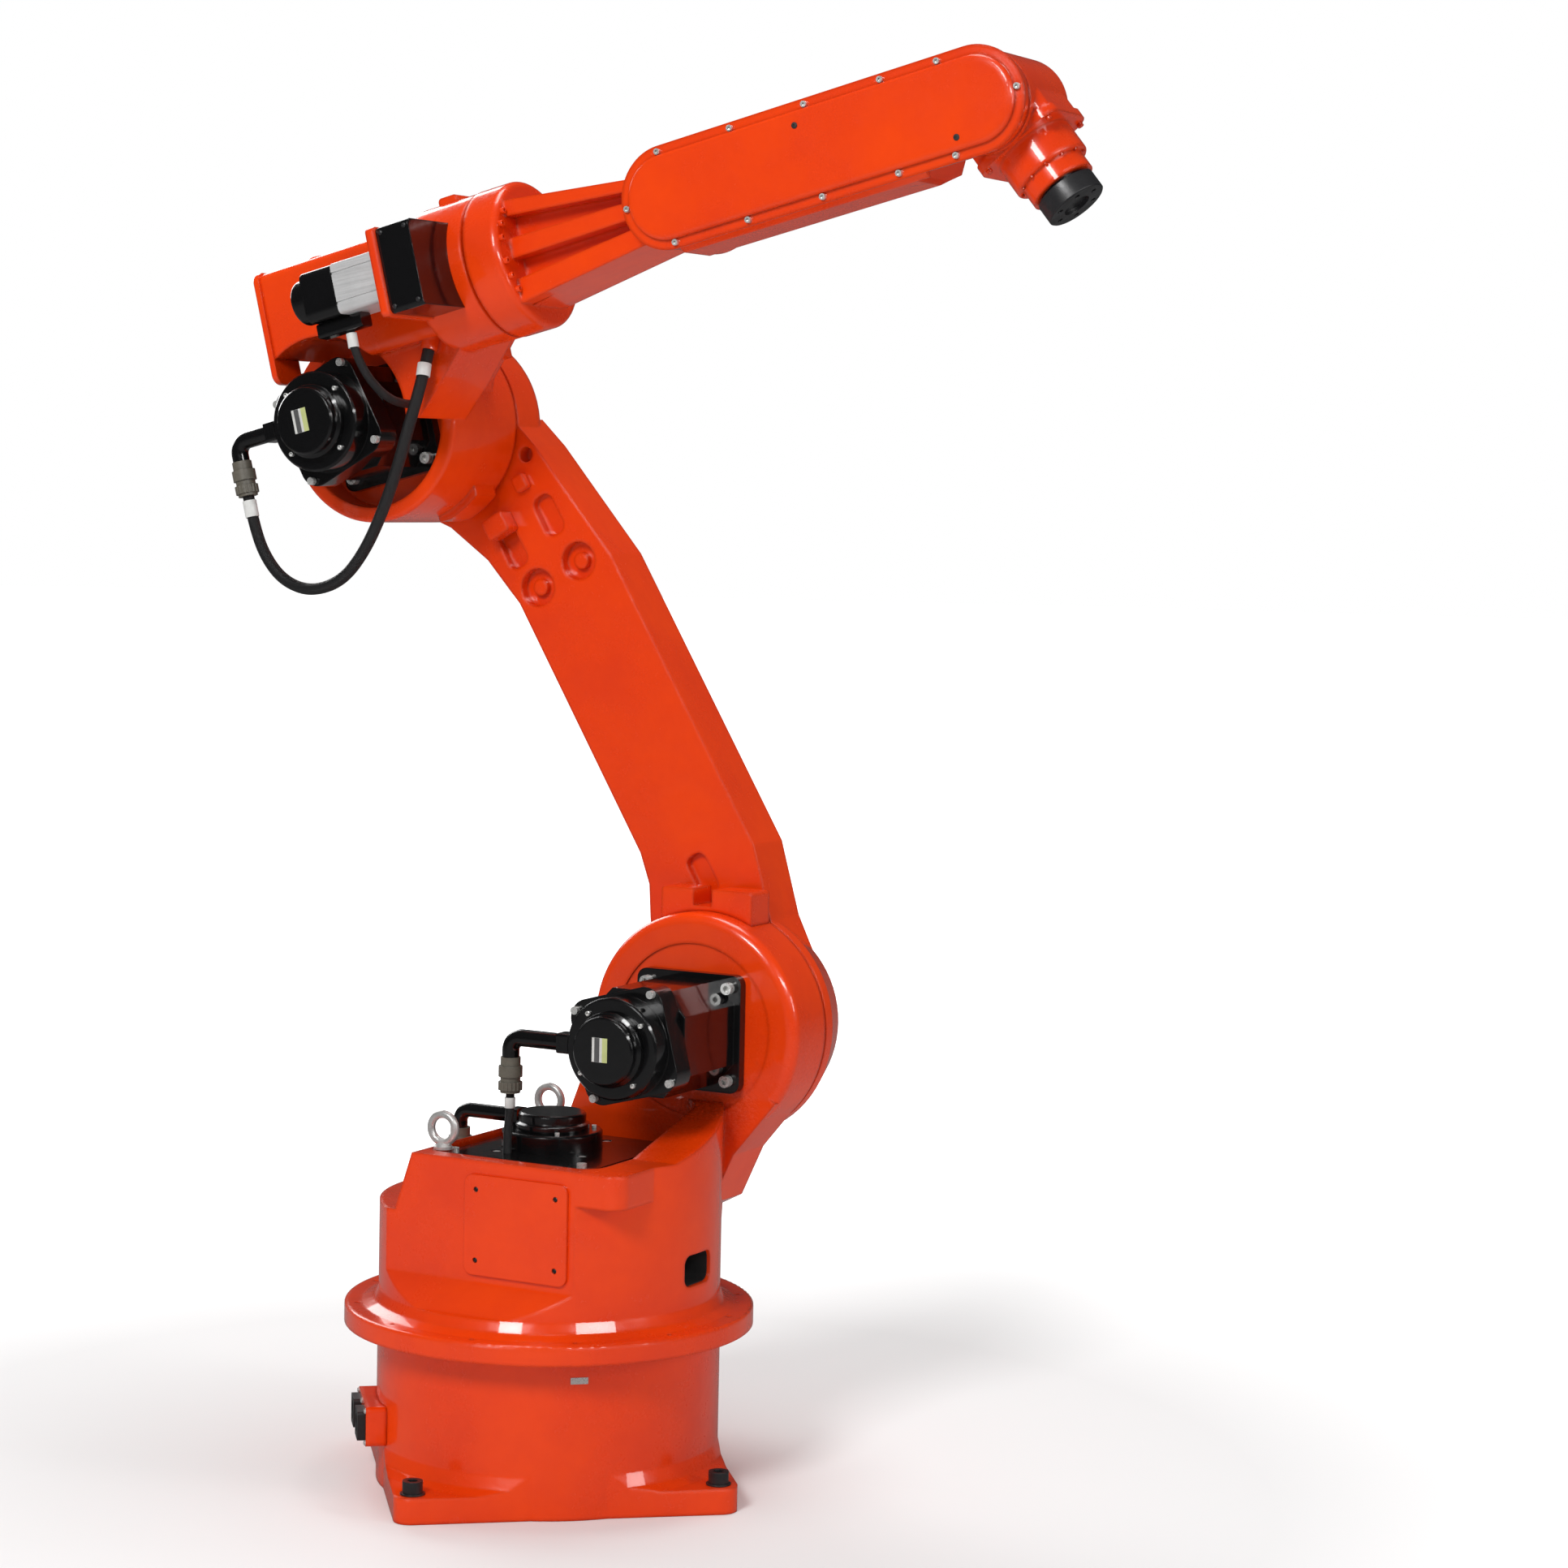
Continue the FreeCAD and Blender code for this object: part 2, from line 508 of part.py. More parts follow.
# ---------------------------------------------------------------- lower arm
def lower_arm_casting():
    """The arm upright: joint 2 at the origin, joint 3 at the top, its front towards +X.

    The output hubs of both reducers are on its near face and turn in the shoulder and in the elbow's drum.
    """
    top = LOWER_ARM
    outline = [(-100, 60), (-38, 200), (ARM_BACK - 10, 246), (ARM_BACK, 296), (ARM_BACK, 740), (-22, top - 232),
               (-57, top - 153), (-130, top - 60), (0, top), (128, top - 60), (144, top - 118), (161, top - 218),
               (ARM_FRONT, top - 335), (ARM_FRONT, 215), (150, 100), (ARM_FOOT_R - 4, 20), (0, 0)]
    beam = plate_xz(outline, ARM_NEAR, ARM_FAR)
    far_edges = [e for e in beam.Edges if abs(e.CenterOfMass.y - ARM_FAR) < 0.01]
    beam = beam.makeChamfer(9, far_edges)
    foot = turned([(0, 0), (SHOULDER_R, 0), (SHOULDER_R, 20), (ARM_FOOT_R + 6, ARM_THICK - 14),
                   (ARM_FOOT_R - 8, ARM_THICK + 4), (0, ARM_THICK + 4)], Y, (0, ARM_NEAR, 0))
    head = rod(ELBOW_R, (0, ARM_NEAR, 0), (0, ARM_FAR - 8, 0))
    head = moved(head.makeFillet(38, rim_edges(head, Y, ARM_FAR - 8)), 0, 0, top)
    hubs = [rod(REDUCER_R, (0, SHOULDER_FAR - REDUCER_DEEP, z), (0, ARM_NEAR + 1, z)) for z in (0, top)]
    arm = fused(beam, foot, head, *hubs)
    near = ARM_NEAR - 1
    dimples = [rod(30, (x, near, top - 315), (x, ARM_NEAR + 18, top - 315)) for x in DIMPLES]
    slots = [rounded_block(x - 18, x + 18, near, ARM_NEAR + 14, z - 34, z + 34, 14, Y)
             for x, z in ((28, top - 238), (112, top - 226), (78, 216))]
    bumps = [rod(13, (x, ARM_NEAR + 8, top - 315), (x, ARM_NEAR + 19, top - 315)) for x in DIMPLES]
    hole = rod(12, (123, near, top - 123), (123, ARM_NEAR + 24, top - 123))
    return fused(arm.cut(dimples + slots + [hole]), *bumps)


def arm_stop():
    """The stop lug and its screw boss below the elbow, on the arm's near face."""
    top = LOWER_ARM
    lug = rounded_block(12, 54, ARM_NEAR - 30, ARM_NEAR, top - 218, top - 184, 5, Y)
    boss = rounded_block(84, 108, ARM_NEAR - 12, ARM_NEAR, top - 172, top - 146, 5, Y)
    return compound([lug, boss])


# ---------------------------------------------------------------- elbow
def elbow_casting():
    """Joint 3's drum, the neck, joint 4's housing and the tail box, with joint 3 at the origin."""
    rise = ELBOW_RISE
    drum = rod(ELBOW_R, (0, ELBOW_NEAR, 0), (0, SHOULDER_FAR, 0))
    drum = drum.makeFillet(6, rim_edges(drum, Y, ELBOW_NEAR))
    housing = rod(BARREL_R, (ROLL_PLATE[0], 0, rise), (RING_START - GAP, 0, rise))
    tail = rounded_block(TAIL_REAR, ROLL_PLATE[0] + 10, -TAIL_HALF, TAIL_HALF, TAIL_LOW, TAIL_HIGH, 14, X)
    bridge = plate_yz([(0, 90), (0, TAIL_HIGH - 20), (TAIL_HALF, TAIL_HIGH - 20), (190, 150), (190, 60)],
                      -60, 200)
    near_neck = plate_xz([(60, 60), (130, -20), (150, -30), (209, 19), (275, 82), (300, 92), (300, rise),
                          (60, rise)], -30, 100)
    far_neck = plate_xz([(60, 60), (145, 0), (160, 36), (222, 96), (222, rise), (60, rise)], 100, 190)
    lug = rounded_block(256, 290, -24, 24, rise + 80, rise + BARREL_R + 8, 6, Y)
    bump = rod(13, (6, 0, TAIL_HIGH - 4), (6, 0, TAIL_HIGH + 12))
    bump = bump.makeFillet(3, rim_edges(bump, Z, TAIL_HIGH + 12))
    drum_lug = rounded_block(20, 96, SHOULDER_FAR - 72, SHOULDER_FAR - 14, -ELBOW_R - 8, -90, 4, Y)
    drum_lug = drum_lug.common(rod(ELBOW_R + 13, (0, ELBOW_NEAR, 0), (0, SHOULDER_FAR, 0)))
    body = fused(drum, housing, tail, bridge, near_neck, far_neck, lug, bump, drum_lug, roll_motor_plate(),
                 lead_gland())
    pocket = rod(ELBOW_R - ELBOW_RIM, (0, -TAIL_HALF - 60, 0), (0, ELBOW_FLOOR, 0))
    hub = rod(REDUCER_R + FIT, (0, SHOULDER_FAR - REDUCER_DEEP - 4, 0), (0, SHOULDER_FAR + 1, 0))
    spigot = rod(ROLL_SPIGOT_R + FIT, (RING_START - GAP - 40, 0, rise), (RING_START, 0, rise))
    return body.cut([pocket, hub, spigot])


def lead_gland():
    """The boss on the neck that the joint 3 motor's lead ends against."""
    before, end = (Vector(*p) for p in ELBOW_LEAD[-2:])
    inner = end + (end - before).normalize() * GLAND_LENGTH
    return rod(GLAND_R, end, inner)


def roll_motor_plate():
    """The flange that carries joint 4's motor beside the housing."""
    x0, x1 = ROLL_PLATE
    return rounded_block(x0, x1, ROLL_Y - 56, -40, ELBOW_RISE - 66, ELBOW_RISE + 66, 8, X)


def tail_cover():
    """The lid on the rear of the tail box."""
    lid = rounded_block(TAIL_REAR - TAIL_LID, TAIL_REAR, -TAIL_HALF - 3, TAIL_HALF + 3, TAIL_LOW - 3, TAIL_HIGH + 3,
                        16, X)
    lid = lid.makeFillet(5, [e for e in lid.Edges if abs(e.CenterOfMass.x - TAIL_REAR + TAIL_LID) < 0.01])
    return lid.cut(rod(ELBOW_R + SEAT, (0, 0, 0), (0, SHOULDER_FAR, 0)))


def roll_motor():
    """Joint 4's ribbed aluminium stator, seated on the plate's rear face."""
    x1 = ROLL_PLATE[0]
    half = ROLL_HALF
    body = rounded_block(x1 - 84, x1 - 8, ROLL_Y - half, ROLL_Y + half, ELBOW_RISE - half, ELBOW_RISE + half, 8, X)
    flange = rounded_block(x1 - 8, x1, ROLL_Y - 42, ROLL_Y + 42, ELBOW_RISE - 42, ELBOW_RISE + 42, 6, X)
    grooves = [block(x1 - 85, x1 - 8, ROLL_Y + side * half - 2, ROLL_Y + side * half + 2, ELBOW_RISE + z - 2,
                     ELBOW_RISE + z + 2) for side in (-1, 1) for z in (-22, 22)]
    return fused(body, flange).cut(grooves)


def roll_motor_rear():
    """The black rear housing of joint 4's motor, with its connector foot below."""
    x1 = ROLL_PLATE[0] - 84
    half = ROLL_HALF
    rear = rounded_block(x1 - 58, x1, ROLL_Y - half, ROLL_Y + half, ELBOW_RISE - half, ELBOW_RISE + half, 14, X)
    cap = rod(34, (x1 - 86, ROLL_Y, ELBOW_RISE), (x1 - 58, ROLL_Y, ELBOW_RISE))
    cap = cap.makeFillet(8, rim_edges(cap, X, x1 - 86))
    foot = rounded_block(x1 - 60, x1 + 20, ROLL_Y - 14, ROLL_Y + 14, ELBOW_RISE - ROLL_FOOT, ELBOW_RISE - half, 5, X)
    return fused(rear, cap, foot)


def roll_drive_cover():
    """The black belt cover in front of the plate, hollowed round the housing."""
    x0 = ROLL_PLATE[1]
    cover = rounded_block(x0, x0 + 58, ROLL_Y - 50, -60, ELBOW_RISE - 64, ELBOW_RISE + 64, 7, X)
    return cover.cut(rod(BARREL_R + SEAT, (x0 - 1, 0, ELBOW_RISE), (x0 + 60, 0, ELBOW_RISE)))


# ---------------------------------------------------------------- forearm, with joint 4's axis along X at z = 0
def forearm_casting():
    """Ring, fluted neck and the long body, whose belly hangs below the covers."""
    ring = rod(BARREL_R + 1, (RING_START, 0, 0), (RING_END, 0, 0))
    ring = ring.makeFillet(9, rim_edges(ring, X, RING_END))
    spigot = rod(ROLL_SPIGOT_R, (RING_START - GAP - 36, 0, 0), (RING_START, 0, 0))
    root = RING_END - 5
    neck = plate_xz([(root, -82), (COVER_START - 150, -58), (COVER_START - 80, -48), (COVER_START, -52),
                     (COVER_START, 50), (COVER_START - 80, 44), (COVER_START - 150, 54), (root, 80)], -44, 36)
    ribs = [plate_xz([(root, low), (COVER_START - 40, low_end), (COVER_START - 40, high_end), (root, high)],
                     22 - SIDE, 52)
            for low, high, low_end, high_end in NECK_RIBS]
    body = plate_yz([(-SIDE, -72), (-SIDE + 14, -80), (-8, -80), (FAR_SIDE, -62), (FAR_SIDE, 62), (FAR_SIDE - 12, 72),
                     (-SIDE, 72)], COVER_START, BODY_END)
    corner = FOREARM - FORK_DEEP
    nose = plate_xz([(corner - 4, -90), (corner, -72), (BODY_END, -40), (BODY_END, 40), (corner, 72), (corner - 4, 90),
                     (BODY_END + 10, 90), (BODY_END + 10, -90)], CHEEK_INNER, FAR_SIDE + 10)
    rear = rod(COVER_R - 3, (COVER_START, -SIDE, 0), (COVER_START, FAR_SIDE - 12, 0))
    cheek = racetrack(COVER_START, FOREARM, COVER_R - 3, -SIDE, CHEEK_INNER)
    casting = fused(ring, spigot, neck, body.cut(nose), rear, cheek, *ribs)
    pivot = rod(PIVOT_R + FIT, (FOREARM, -SIDE + 4, 0), (FOREARM, CHEEK_INNER + 1, 0))
    return casting.cut(pivot)


def far_cover():
    """The plain lid on the forearm's far side."""
    lid = racetrack(COVER_START + 20, BODY_END - 66, 56, FAR_SIDE, FAR_SIDE + 7)
    return lid.makeFillet(3, [e for e in lid.Edges if abs(e.CenterOfMass.y - FAR_SIDE - 7) < 0.01])


def near_cover():
    """The long side cover: a flat rim with a raised middle."""
    flat = racetrack(COVER_START, FOREARM, COVER_R, -COVER_THICK, 0)
    raised = racetrack(COVER_START, FOREARM, COVER_R - 14, -COVER_THICK - COVER_DOME, -COVER_THICK + 1)
    top = [e for e in raised.Edges if abs(e.CenterOfMass.y + COVER_THICK + COVER_DOME) < 0.01]
    shell = fused(flat, raised.makeFillet(6, top))
    holes = [rod(2.5 + LOOSE, (x, -COVER_THICK - 1, z), (x, 1, z)) for x, z in cover_screw_places()]
    return moved(shell.cut(holes), 0, -SIDE, 0)


def cover_screw_places():
    """Screws along both straights and one at each round end, inside the cover's edge."""
    inset = COVER_R - 8.7
    span = FOREARM - COVER_START
    straights = [COVER_START + span * share for share in (0.0, 0.245, 0.49, 0.735, 0.915)]
    places = [(x, z) for x in straights for z in (-inset, inset)]
    return places + [(COVER_START - inset, 0.0), (FOREARM + inset, 0.0)]


def cover_screws():
    screws = []
    for x, z in cover_screw_places():
        screw = cap_screw(2.5, 4.5, 5, COVER_THICK)
        screw.Placement = Placement(Vector(x, -SIDE - COVER_THICK, z), Rotation(X, 90))
        screws.append(screw)
    return compound(screws)


# ---------------------------------------------------------------- wrist, joint 5 at the origin and the tool along X
def wrist_casting():
    """The hub on the cheek's bearing, its flanged block and the barrel of joint 6."""
    hub = rod(HUB_R, (0, CHEEK_INNER + GAP, 0), (0, FAR_SIDE + 2, 0))
    hub = hub.makeFillet(5, rim_edges(hub, Y, FAR_SIDE + 2))
    pivot = rod(PIVOT_R, (0, -SIDE + 5, 0), (0, CHEEK_INNER + GAP, 0))
    flange = WRIST - TOOL_THICK - GAP
    face = rounded_block(0, HAND_BLOCK, -62, FAR_SIDE + 2, -66, 66, 16, X)
    ears = rounded_block(HAND_BLOCK - 14, HAND_BLOCK, -66, FAR_SIDE + 8, -70, 70, 24, X)
    barrel = rod(HAND_R, (0, 0, 0), (HAND_RING, 0, 0))
    barrel = barrel.makeFillet(3, rim_edges(barrel, X, HAND_RING))
    neck = rod(HAND_R - 9, (0, 0, 0), (flange, 0, 0))
    bore = rod(TOOL_SPIGOT_R + FIT, (flange - 22, 0, 0), (flange + 1, 0, 0))
    return fused(hub, pivot, face, ears, barrel, neck).cut(bore)


def wrist_screws():
    """The small screws round the barrel's step, and the four of the block's face."""
    screws = [rod(2.4, (HAND_RING, y, z), (HAND_RING + 3, y, z)) for y, z in on_circle(HAND_SCREWS, 12, 15)]
    for y in (-54, FAR_SIDE - 2):
        for z in (-56, 56):
            screws.append(rod(4.5, (HAND_BLOCK, y, z), (HAND_BLOCK + 5, y, z)))
    return compound(screws)


def wrist_cap():
    """The round bearing cap on the hub's far face."""
    cap = rod(HUB_R - 14, (0, FAR_SIDE + 2, 0), (0, FAR_SIDE + 9, 0))
    return cap.makeFillet(3, rim_edges(cap, Y, FAR_SIDE + 9))


# ---------------------------------------------------------------- tool flange
def tool_flange():
    start = WRIST - TOOL_THICK
    disc = rod(TOOL_R, (start, 0, 0), (WRIST, 0, 0))
    disc = disc.makeChamfer(1.5, rim_edges(disc, X, WRIST))
    spigot = rod(TOOL_SPIGOT_R, (start - GAP - 20, 0, 0), (start, 0, 0))
    pilot = rod(20, (WRIST - 6, 0, 0), (WRIST + 1, 0, 0))
    holes = [rod(4, (WRIST - 12, y, z), (WRIST + 1, y, z)) for y, z in on_circle(TOOL_HOLES, 6, 30)]
    return fused(disc, spigot).cut([pilot] + holes)


# ---------------------------------------------------------------- cables
def cord_tube(points, r):
    """A cable along runs joined by tangent arcs, each arc as large as its two runs allow."""
    points = [Vector(*p) for p in points]
    runs, radii = [], []
    start = points[0]
    for before, corner, after in zip(points, points[1:], points[2:]):
        into, out = corner - before, after - corner
        shorter = min(into.Length, out.Length)
        into, out = into.normalize(), out.normalize()
        half = into.getAngle(out) / 2
        bend = 0.45 * shorter / math.tan(half)
        radii.append(round(bend))
        enter, leave = corner - into * (0.45 * shorter), corner + out * (0.45 * shorter)
        middle = corner + (out - into).normalize() * (bend / math.cos(half) - bend)
        runs += [Part.LineSegment(start, enter).toShape(), Part.Arc(enter, middle, leave).toShape()]
        start = leave
    wire = Part.Wire(runs + [Part.LineSegment(start, points[-1]).toShape()])
    circle = Part.Wire(Part.Circle(points[0], points[1] - points[0], r).toShape())
    tube_shape = wire.makePipeShell([circle], True, False)
    share = tube_shape.Volume / (math.pi * r * r * wire.Length)
    print(f"cable: length {wire.Length:.0f}, radius {r}, bends {radii}, volume share {share:.4f}")
    return tube_shape


def turn_lead():
    """The straight stretch from the joint 1 plug into the drum's top."""
    top = TURN_CAP_LOW + TURN_ELBOW - TURN_DROP - PLUG_DROP
    return rod(THIN_LEAD_R, (-TURN_REACH, 0, DRUM_TOP), (-TURN_REACH, 0, top))


# ---------------------------------------------------------------- assembly
def placed(shape, frame):
    copy = shape.copy()
    copy.Placement = frame.multiply(copy.Placement)
    return copy


def column_nodes():
    """The pieces that turn with joint 1, in the column's frame."""
    turn_seat = Placement(Vector(0, 0, TURN_MOTOR_SEAT), Rotation(X, -90))
    shoulder_seat = Placement(Vector(SHOULDER_X, SHOULDER_MOTOR_SEAT, SHOULDER_Z), Rotation())
    screws = [placed(screw, turn_seat) for screw in servo_bolts(SHORT_STATOR)] + turn_plate_screws()
    screws += [placed(screw, shoulder_seat) for screw in servo_bolts(LONG_STATOR)]
    connector = placed(servo_connector(LONG_STATOR, *SHOULDER_ELBOW), shoulder_seat)
    hanging = placed(servo_plug(LONG_STATOR, *SHOULDER_ELBOW), shoulder_seat)
    return {
        "column_casting": column_casting(),
        "side_cover": side_cover(),
        "eyebolts": eyebolts(),
        "shoulder_stop": shoulder_stop(),
        "turn_motor": placed(servo_stator(SHORT_STATOR), turn_seat),
        "turn_motor_shield": placed(servo_shield(SHORT_STATOR), turn_seat),
        "turn_motor_cap": placed(servo_cap(SHORT_STATOR), turn_seat),
        "turn_motor_plate": turn_motor_plate(),
        "turn_lead": turn_lead(),
        "shoulder_motor": placed(servo_stator(LONG_STATOR), shoulder_seat),
        "shoulder_motor_shield": placed(servo_shield(LONG_STATOR), shoulder_seat),
        "shoulder_motor_cap": placed(servo_cap(LONG_STATOR), shoulder_seat),
        "shoulder_lead": cord_tube(SHOULDER_LEAD, THIN_LEAD_R),
        "column_motor_screws": compound(screws),
        "column_connectors": compound([turn_connector(), connector]),
        "column_plugs": compound([turn_plug(), hanging]),
    }


def upper_nodes():
    """The pieces that lift with joint 3, in its frame."""
    seat = Placement(Vector(0, ELBOW_FLOOR, 0), Rotation())
    return {
        "elbow_casting": elbow_casting(),
        "tail_cover": tail_cover(),
        "elbow_motor": placed(servo_stator(SHORT_STATOR), seat),
        "elbow_motor_shield": placed(servo_shield(SHORT_STATOR), seat),
        "elbow_motor_cap": placed(servo_cap(SHORT_STATOR), seat),
        "elbow_motor_screws": placed(compound(servo_bolts(SHORT_STATOR)), seat),
        "elbow_connector": placed(servo_connector(SHORT_STATOR, *ELBOW_ELBOW), seat),
        "elbow_plug": placed(servo_plug(SHORT_STATOR, *ELBOW_ELBOW), seat),
        "elbow_lead": cord_tube(ELBOW_LEAD, LEAD_R),
        "roll_motor": roll_motor(),
        "roll_motor_rear": roll_motor_rear(),
        "roll_drive_cover": roll_drive_cover(),
        "roll_lead": cord_tube(ROLL_LEAD, THIN_LEAD_R),
    }


def main():
    bodies = [
        (GROUND, {
            "base_casting": base_casting(),
            "foot_bolts": foot_bolts(),
            "connector_box": connector_box(),
            "base_sockets": base_sockets(),
            "travel_stop": travel_stop(),
        }),
        (COLUMN, column_nodes()),
        (LOWER, {
            "lower_arm_casting": lower_arm_casting(),
            "arm_stop": arm_stop(),
        }),
        (UPPER, upper_nodes()),
        (FORE, {
            "forearm_casting": forearm_casting(),
            "near_cover": near_cover(),
            "far_cover": far_cover(),
            "cover_screws": cover_screws(),
        }),
        (HAND, {
            "wrist_casting": wrist_casting(),
            "wrist_screws": wrist_screws(),
            "wrist_cap": wrist_cap(),
            "tool_flange": tool_flange(),
        }),
    ]
    os.makedirs("parts", exist_ok=True)
    for frame, nodes in bodies:
        for name, shape in nodes.items():
            placed(shape, frame).exportStep(f"parts/{name}.step")
            print(name, len(shape.Solids), shape.isValid(), round(shape.Volume / 1e6, 3))


main()
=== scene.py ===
"""Industrial robot arm: finishes, leads and small fittings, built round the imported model.

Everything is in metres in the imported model's frame, apart from sizes that say millimetres.  Each body has a
frame of its own, worked out from the joints, and a fitting is placed in the frame of its body.
"""

import json
import math

import bpy
from mathutils import Matrix, Vector


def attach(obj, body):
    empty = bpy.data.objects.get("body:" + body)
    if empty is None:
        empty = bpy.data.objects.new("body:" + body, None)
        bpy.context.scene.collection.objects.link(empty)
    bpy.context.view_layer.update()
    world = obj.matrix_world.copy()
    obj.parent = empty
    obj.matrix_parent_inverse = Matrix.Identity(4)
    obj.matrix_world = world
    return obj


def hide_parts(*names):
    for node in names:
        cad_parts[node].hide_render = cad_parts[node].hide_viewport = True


bl_info = {
    "name": "Industrial Robot Arm",
    "version": (1, 0, 0),
    "blender": (4, 5, 0),
    "location": "View3D > Sidebar > Robot Arm",
    "description": "Finishes, leads, screws and tags of a floor-mounted six-axis arm",
    "category": "Add Mesh",
}

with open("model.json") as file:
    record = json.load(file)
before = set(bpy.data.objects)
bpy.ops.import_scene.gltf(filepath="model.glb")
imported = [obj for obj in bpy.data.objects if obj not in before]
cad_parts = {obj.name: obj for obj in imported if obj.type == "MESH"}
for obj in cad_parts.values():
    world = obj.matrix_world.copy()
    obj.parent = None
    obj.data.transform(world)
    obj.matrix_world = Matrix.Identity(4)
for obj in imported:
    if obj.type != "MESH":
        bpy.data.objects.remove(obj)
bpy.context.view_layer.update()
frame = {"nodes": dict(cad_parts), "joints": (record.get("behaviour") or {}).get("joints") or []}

MM = 0.001
X, Y, Z = Vector((1, 0, 0)), Vector((0, 1, 0)), Vector((0, 0, 1))

# ------------------------------------------------ frames of the bodies
JOINTS = {joint["name"]: joint for joint in frame["joints"]}


def joint_point(name):
    return Vector(JOINTS[name]["pos_m"])


def joint_axis(name):
    return Vector(JOINTS[name]["axis"]).normalized()


def body_frame(origin, x_axis, y_axis):
    """A frame from its origin and two of its axes."""
    turn = Matrix((x_axis, y_axis, x_axis.cross(y_axis))).transposed()
    return Matrix.Translation(origin) @ turn.to_4x4()


SIDE = joint_axis("lower_arm_swing")            # from the motors' side to the lower arm's side
ARM_UP = (joint_point("forearm_lift") - joint_point("lower_arm_swing")).normalized()
FOREARM_OUT = joint_axis("forearm_roll")
GROUND = Matrix()
COLUMN = body_frame(Vector(), SIDE.cross(Z), SIDE)
SHOULDER = body_frame(joint_point("lower_arm_swing"), SIDE.cross(Z), SIDE)
LOWER = body_frame(joint_point("lower_arm_swing"), SIDE.cross(ARM_UP), SIDE)
UPPER = body_frame(joint_point("forearm_lift"), FOREARM_OUT, SIDE)
FOREARM = body_frame(joint_point("forearm_roll"), FOREARM_OUT, SIDE)
ARM_LENGTH = (joint_point("forearm_lift") - joint_point("lower_arm_swing")).length / MM

# ------------------------------------------------ sizes that the model's pieces set, millimetres
SHOULDER_BELL = -93.0       # back face of the joint 2 motor's bell, along Y
ELBOW_BELL = -86.0
CAP_DEEP = 26.0             # the encoder cap behind each bell
TURN_BELL = 531.0           # top face of the joint 1 motor's bell
RING_FACE = 58.0            # front face of joint 4's ring, from its seam
COVER_FACE = -110.0         # outer face of the near cover, along Y
COVER_MIDDLE = 591.0        # halfway between the cover's round ends, from joint 4's seam
FAR_LID_FACE = 62.0
FAR_LID = (364.0, 677.0)    # the far lid's round centres, from joint 4's seam
TAIL_FACE = -76.0
ARM_FAR_FACE = 352.0
BASE_RADIUS = 259.0
PLATE_AROUND = math.radians(-87.5)      # the number plate's place round the base
PLATE_HIGH = 207.0
BOLT_SQUARE = 450.0
FOOT_TOP = 38.0
SIDE_COVER_FACE = -205.0
SIDE_COVER_HOLES = [(x, z) for x in (-4, 132) for z in (365, 470)]
BOX_FACE = -281.0
CAST_PATCH = (205, 148, 560)        # middle of the coarse cast skin below the shoulder
CAST_PATCH_RADIUS = 85.0
WINDOW = (75.4, 47.4)       # width and height of the black tub in the drum's cable window; its black is painted shade inside the opening
WINDOW_CORNER = 13.8
WINDOW_DEEP = 70.0
WINDOW_INSIDE = (180.0, 0.0, 347.0)     # the middle of the black tub's inner end
DRIVE_COVER_FACE = -200.0

# each lead's points from plug to seat, in millimetres in its body's frame
LEADS = {
    "elbow_lead": (UPPER, "upper_arm", [
        (-158, -68, -79), (-158, -68, -124), (-146, -73, -176), (-115, -81, -222), (-64, -88, -250),
        (-2, -91, -247), (47, -90, -213), (90, -86, -162), (127, -80, -104), (158, -72, -44), (184, -58, 13),
        (199, -42, 62)]),
    "roll_lead": (UPPER, "upper_arm", [
        (140, -150, 101), (140, -150, 72), (142, -134.8, 35), (144, -106.6, 7), (146, -69.8, -8),
        (146, -30, -8)]),
    "shoulder_lead": (COLUMN, "column", [
        (-29, -75, 593), (-29, -75, 567), (-25, -87.4, 530), (-25, -87.4, 504)]),
}


# ------------------------------------------------ what a user may change
class RobotArmSizes(bpy.types.PropertyGroup):
    """Sizes of the fittings."""
    thick_lead: bpy.props.FloatProperty(
        name="Thick lead", description="Diameter of the joint 3 motor's lead", default=0.018, unit="LENGTH")
    thin_lead: bpy.props.FloatProperty(
        name="Thin lead", description="Diameter of the other motors' leads", default=0.013, unit="LENGTH")
    bell_screw: bpy.props.FloatProperty(
        name="Bell screw", description="Head radius of the screws on the motors' bells", default=0.0036,
        unit="LENGTH")
    ring_screw: bpy.props.FloatProperty(
        name="Ring screw", description="Head radius of the screws on joint 4's ring", default=0.0048,
        unit="LENGTH")
    hub_screw: bpy.props.FloatProperty(
        name="Hub screw", description="Head radius of the screws on the lower arm's far caps", default=0.0085,
        unit="LENGTH")
    hub_cap: bpy.props.FloatProperty(
        name="Hub cap", description="Radius of the caps on the lower arm's far side", default=0.12,
        unit="LENGTH")
    edge_round: bpy.props.FloatProperty(
        name="Cast edge", description="Radius that softens the castings' edges", default=0.009, unit="LENGTH")


class RobotArmColours(bpy.types.PropertyGroup):
    """Colours of the finishes."""
    enamel: bpy.props.FloatVectorProperty(
        name="Enamel", description="Orange enamel of the castings", subtype="COLOR", size=4,
        default=(0.84, 0.054, 0.0008, 1.0))
    enamel_deep: bpy.props.FloatVectorProperty(
        name="Deep enamel", description="Enamel where it lies thicker", subtype="COLOR", size=4,
        default=(0.72, 0.036, 0.0008, 1.0))
    motor: bpy.props.FloatVectorProperty(
        name="Motor black", description="Gloss black of the servo motors", subtype="COLOR", size=4,
        default=(0.004, 0.004, 0.0045, 1.0))
    plug: bpy.props.FloatVectorProperty(
        name="Plug", description="Olive grey of the cable plugs", subtype="COLOR", size=4,
        default=(0.150, 0.135, 0.105, 1.0))
    floor: bpy.props.FloatVectorProperty(
        name="Floor", description="Pale studio floor", subtype="COLOR", size=4,
        default=(0.86, 0.86, 0.86, 1.0))


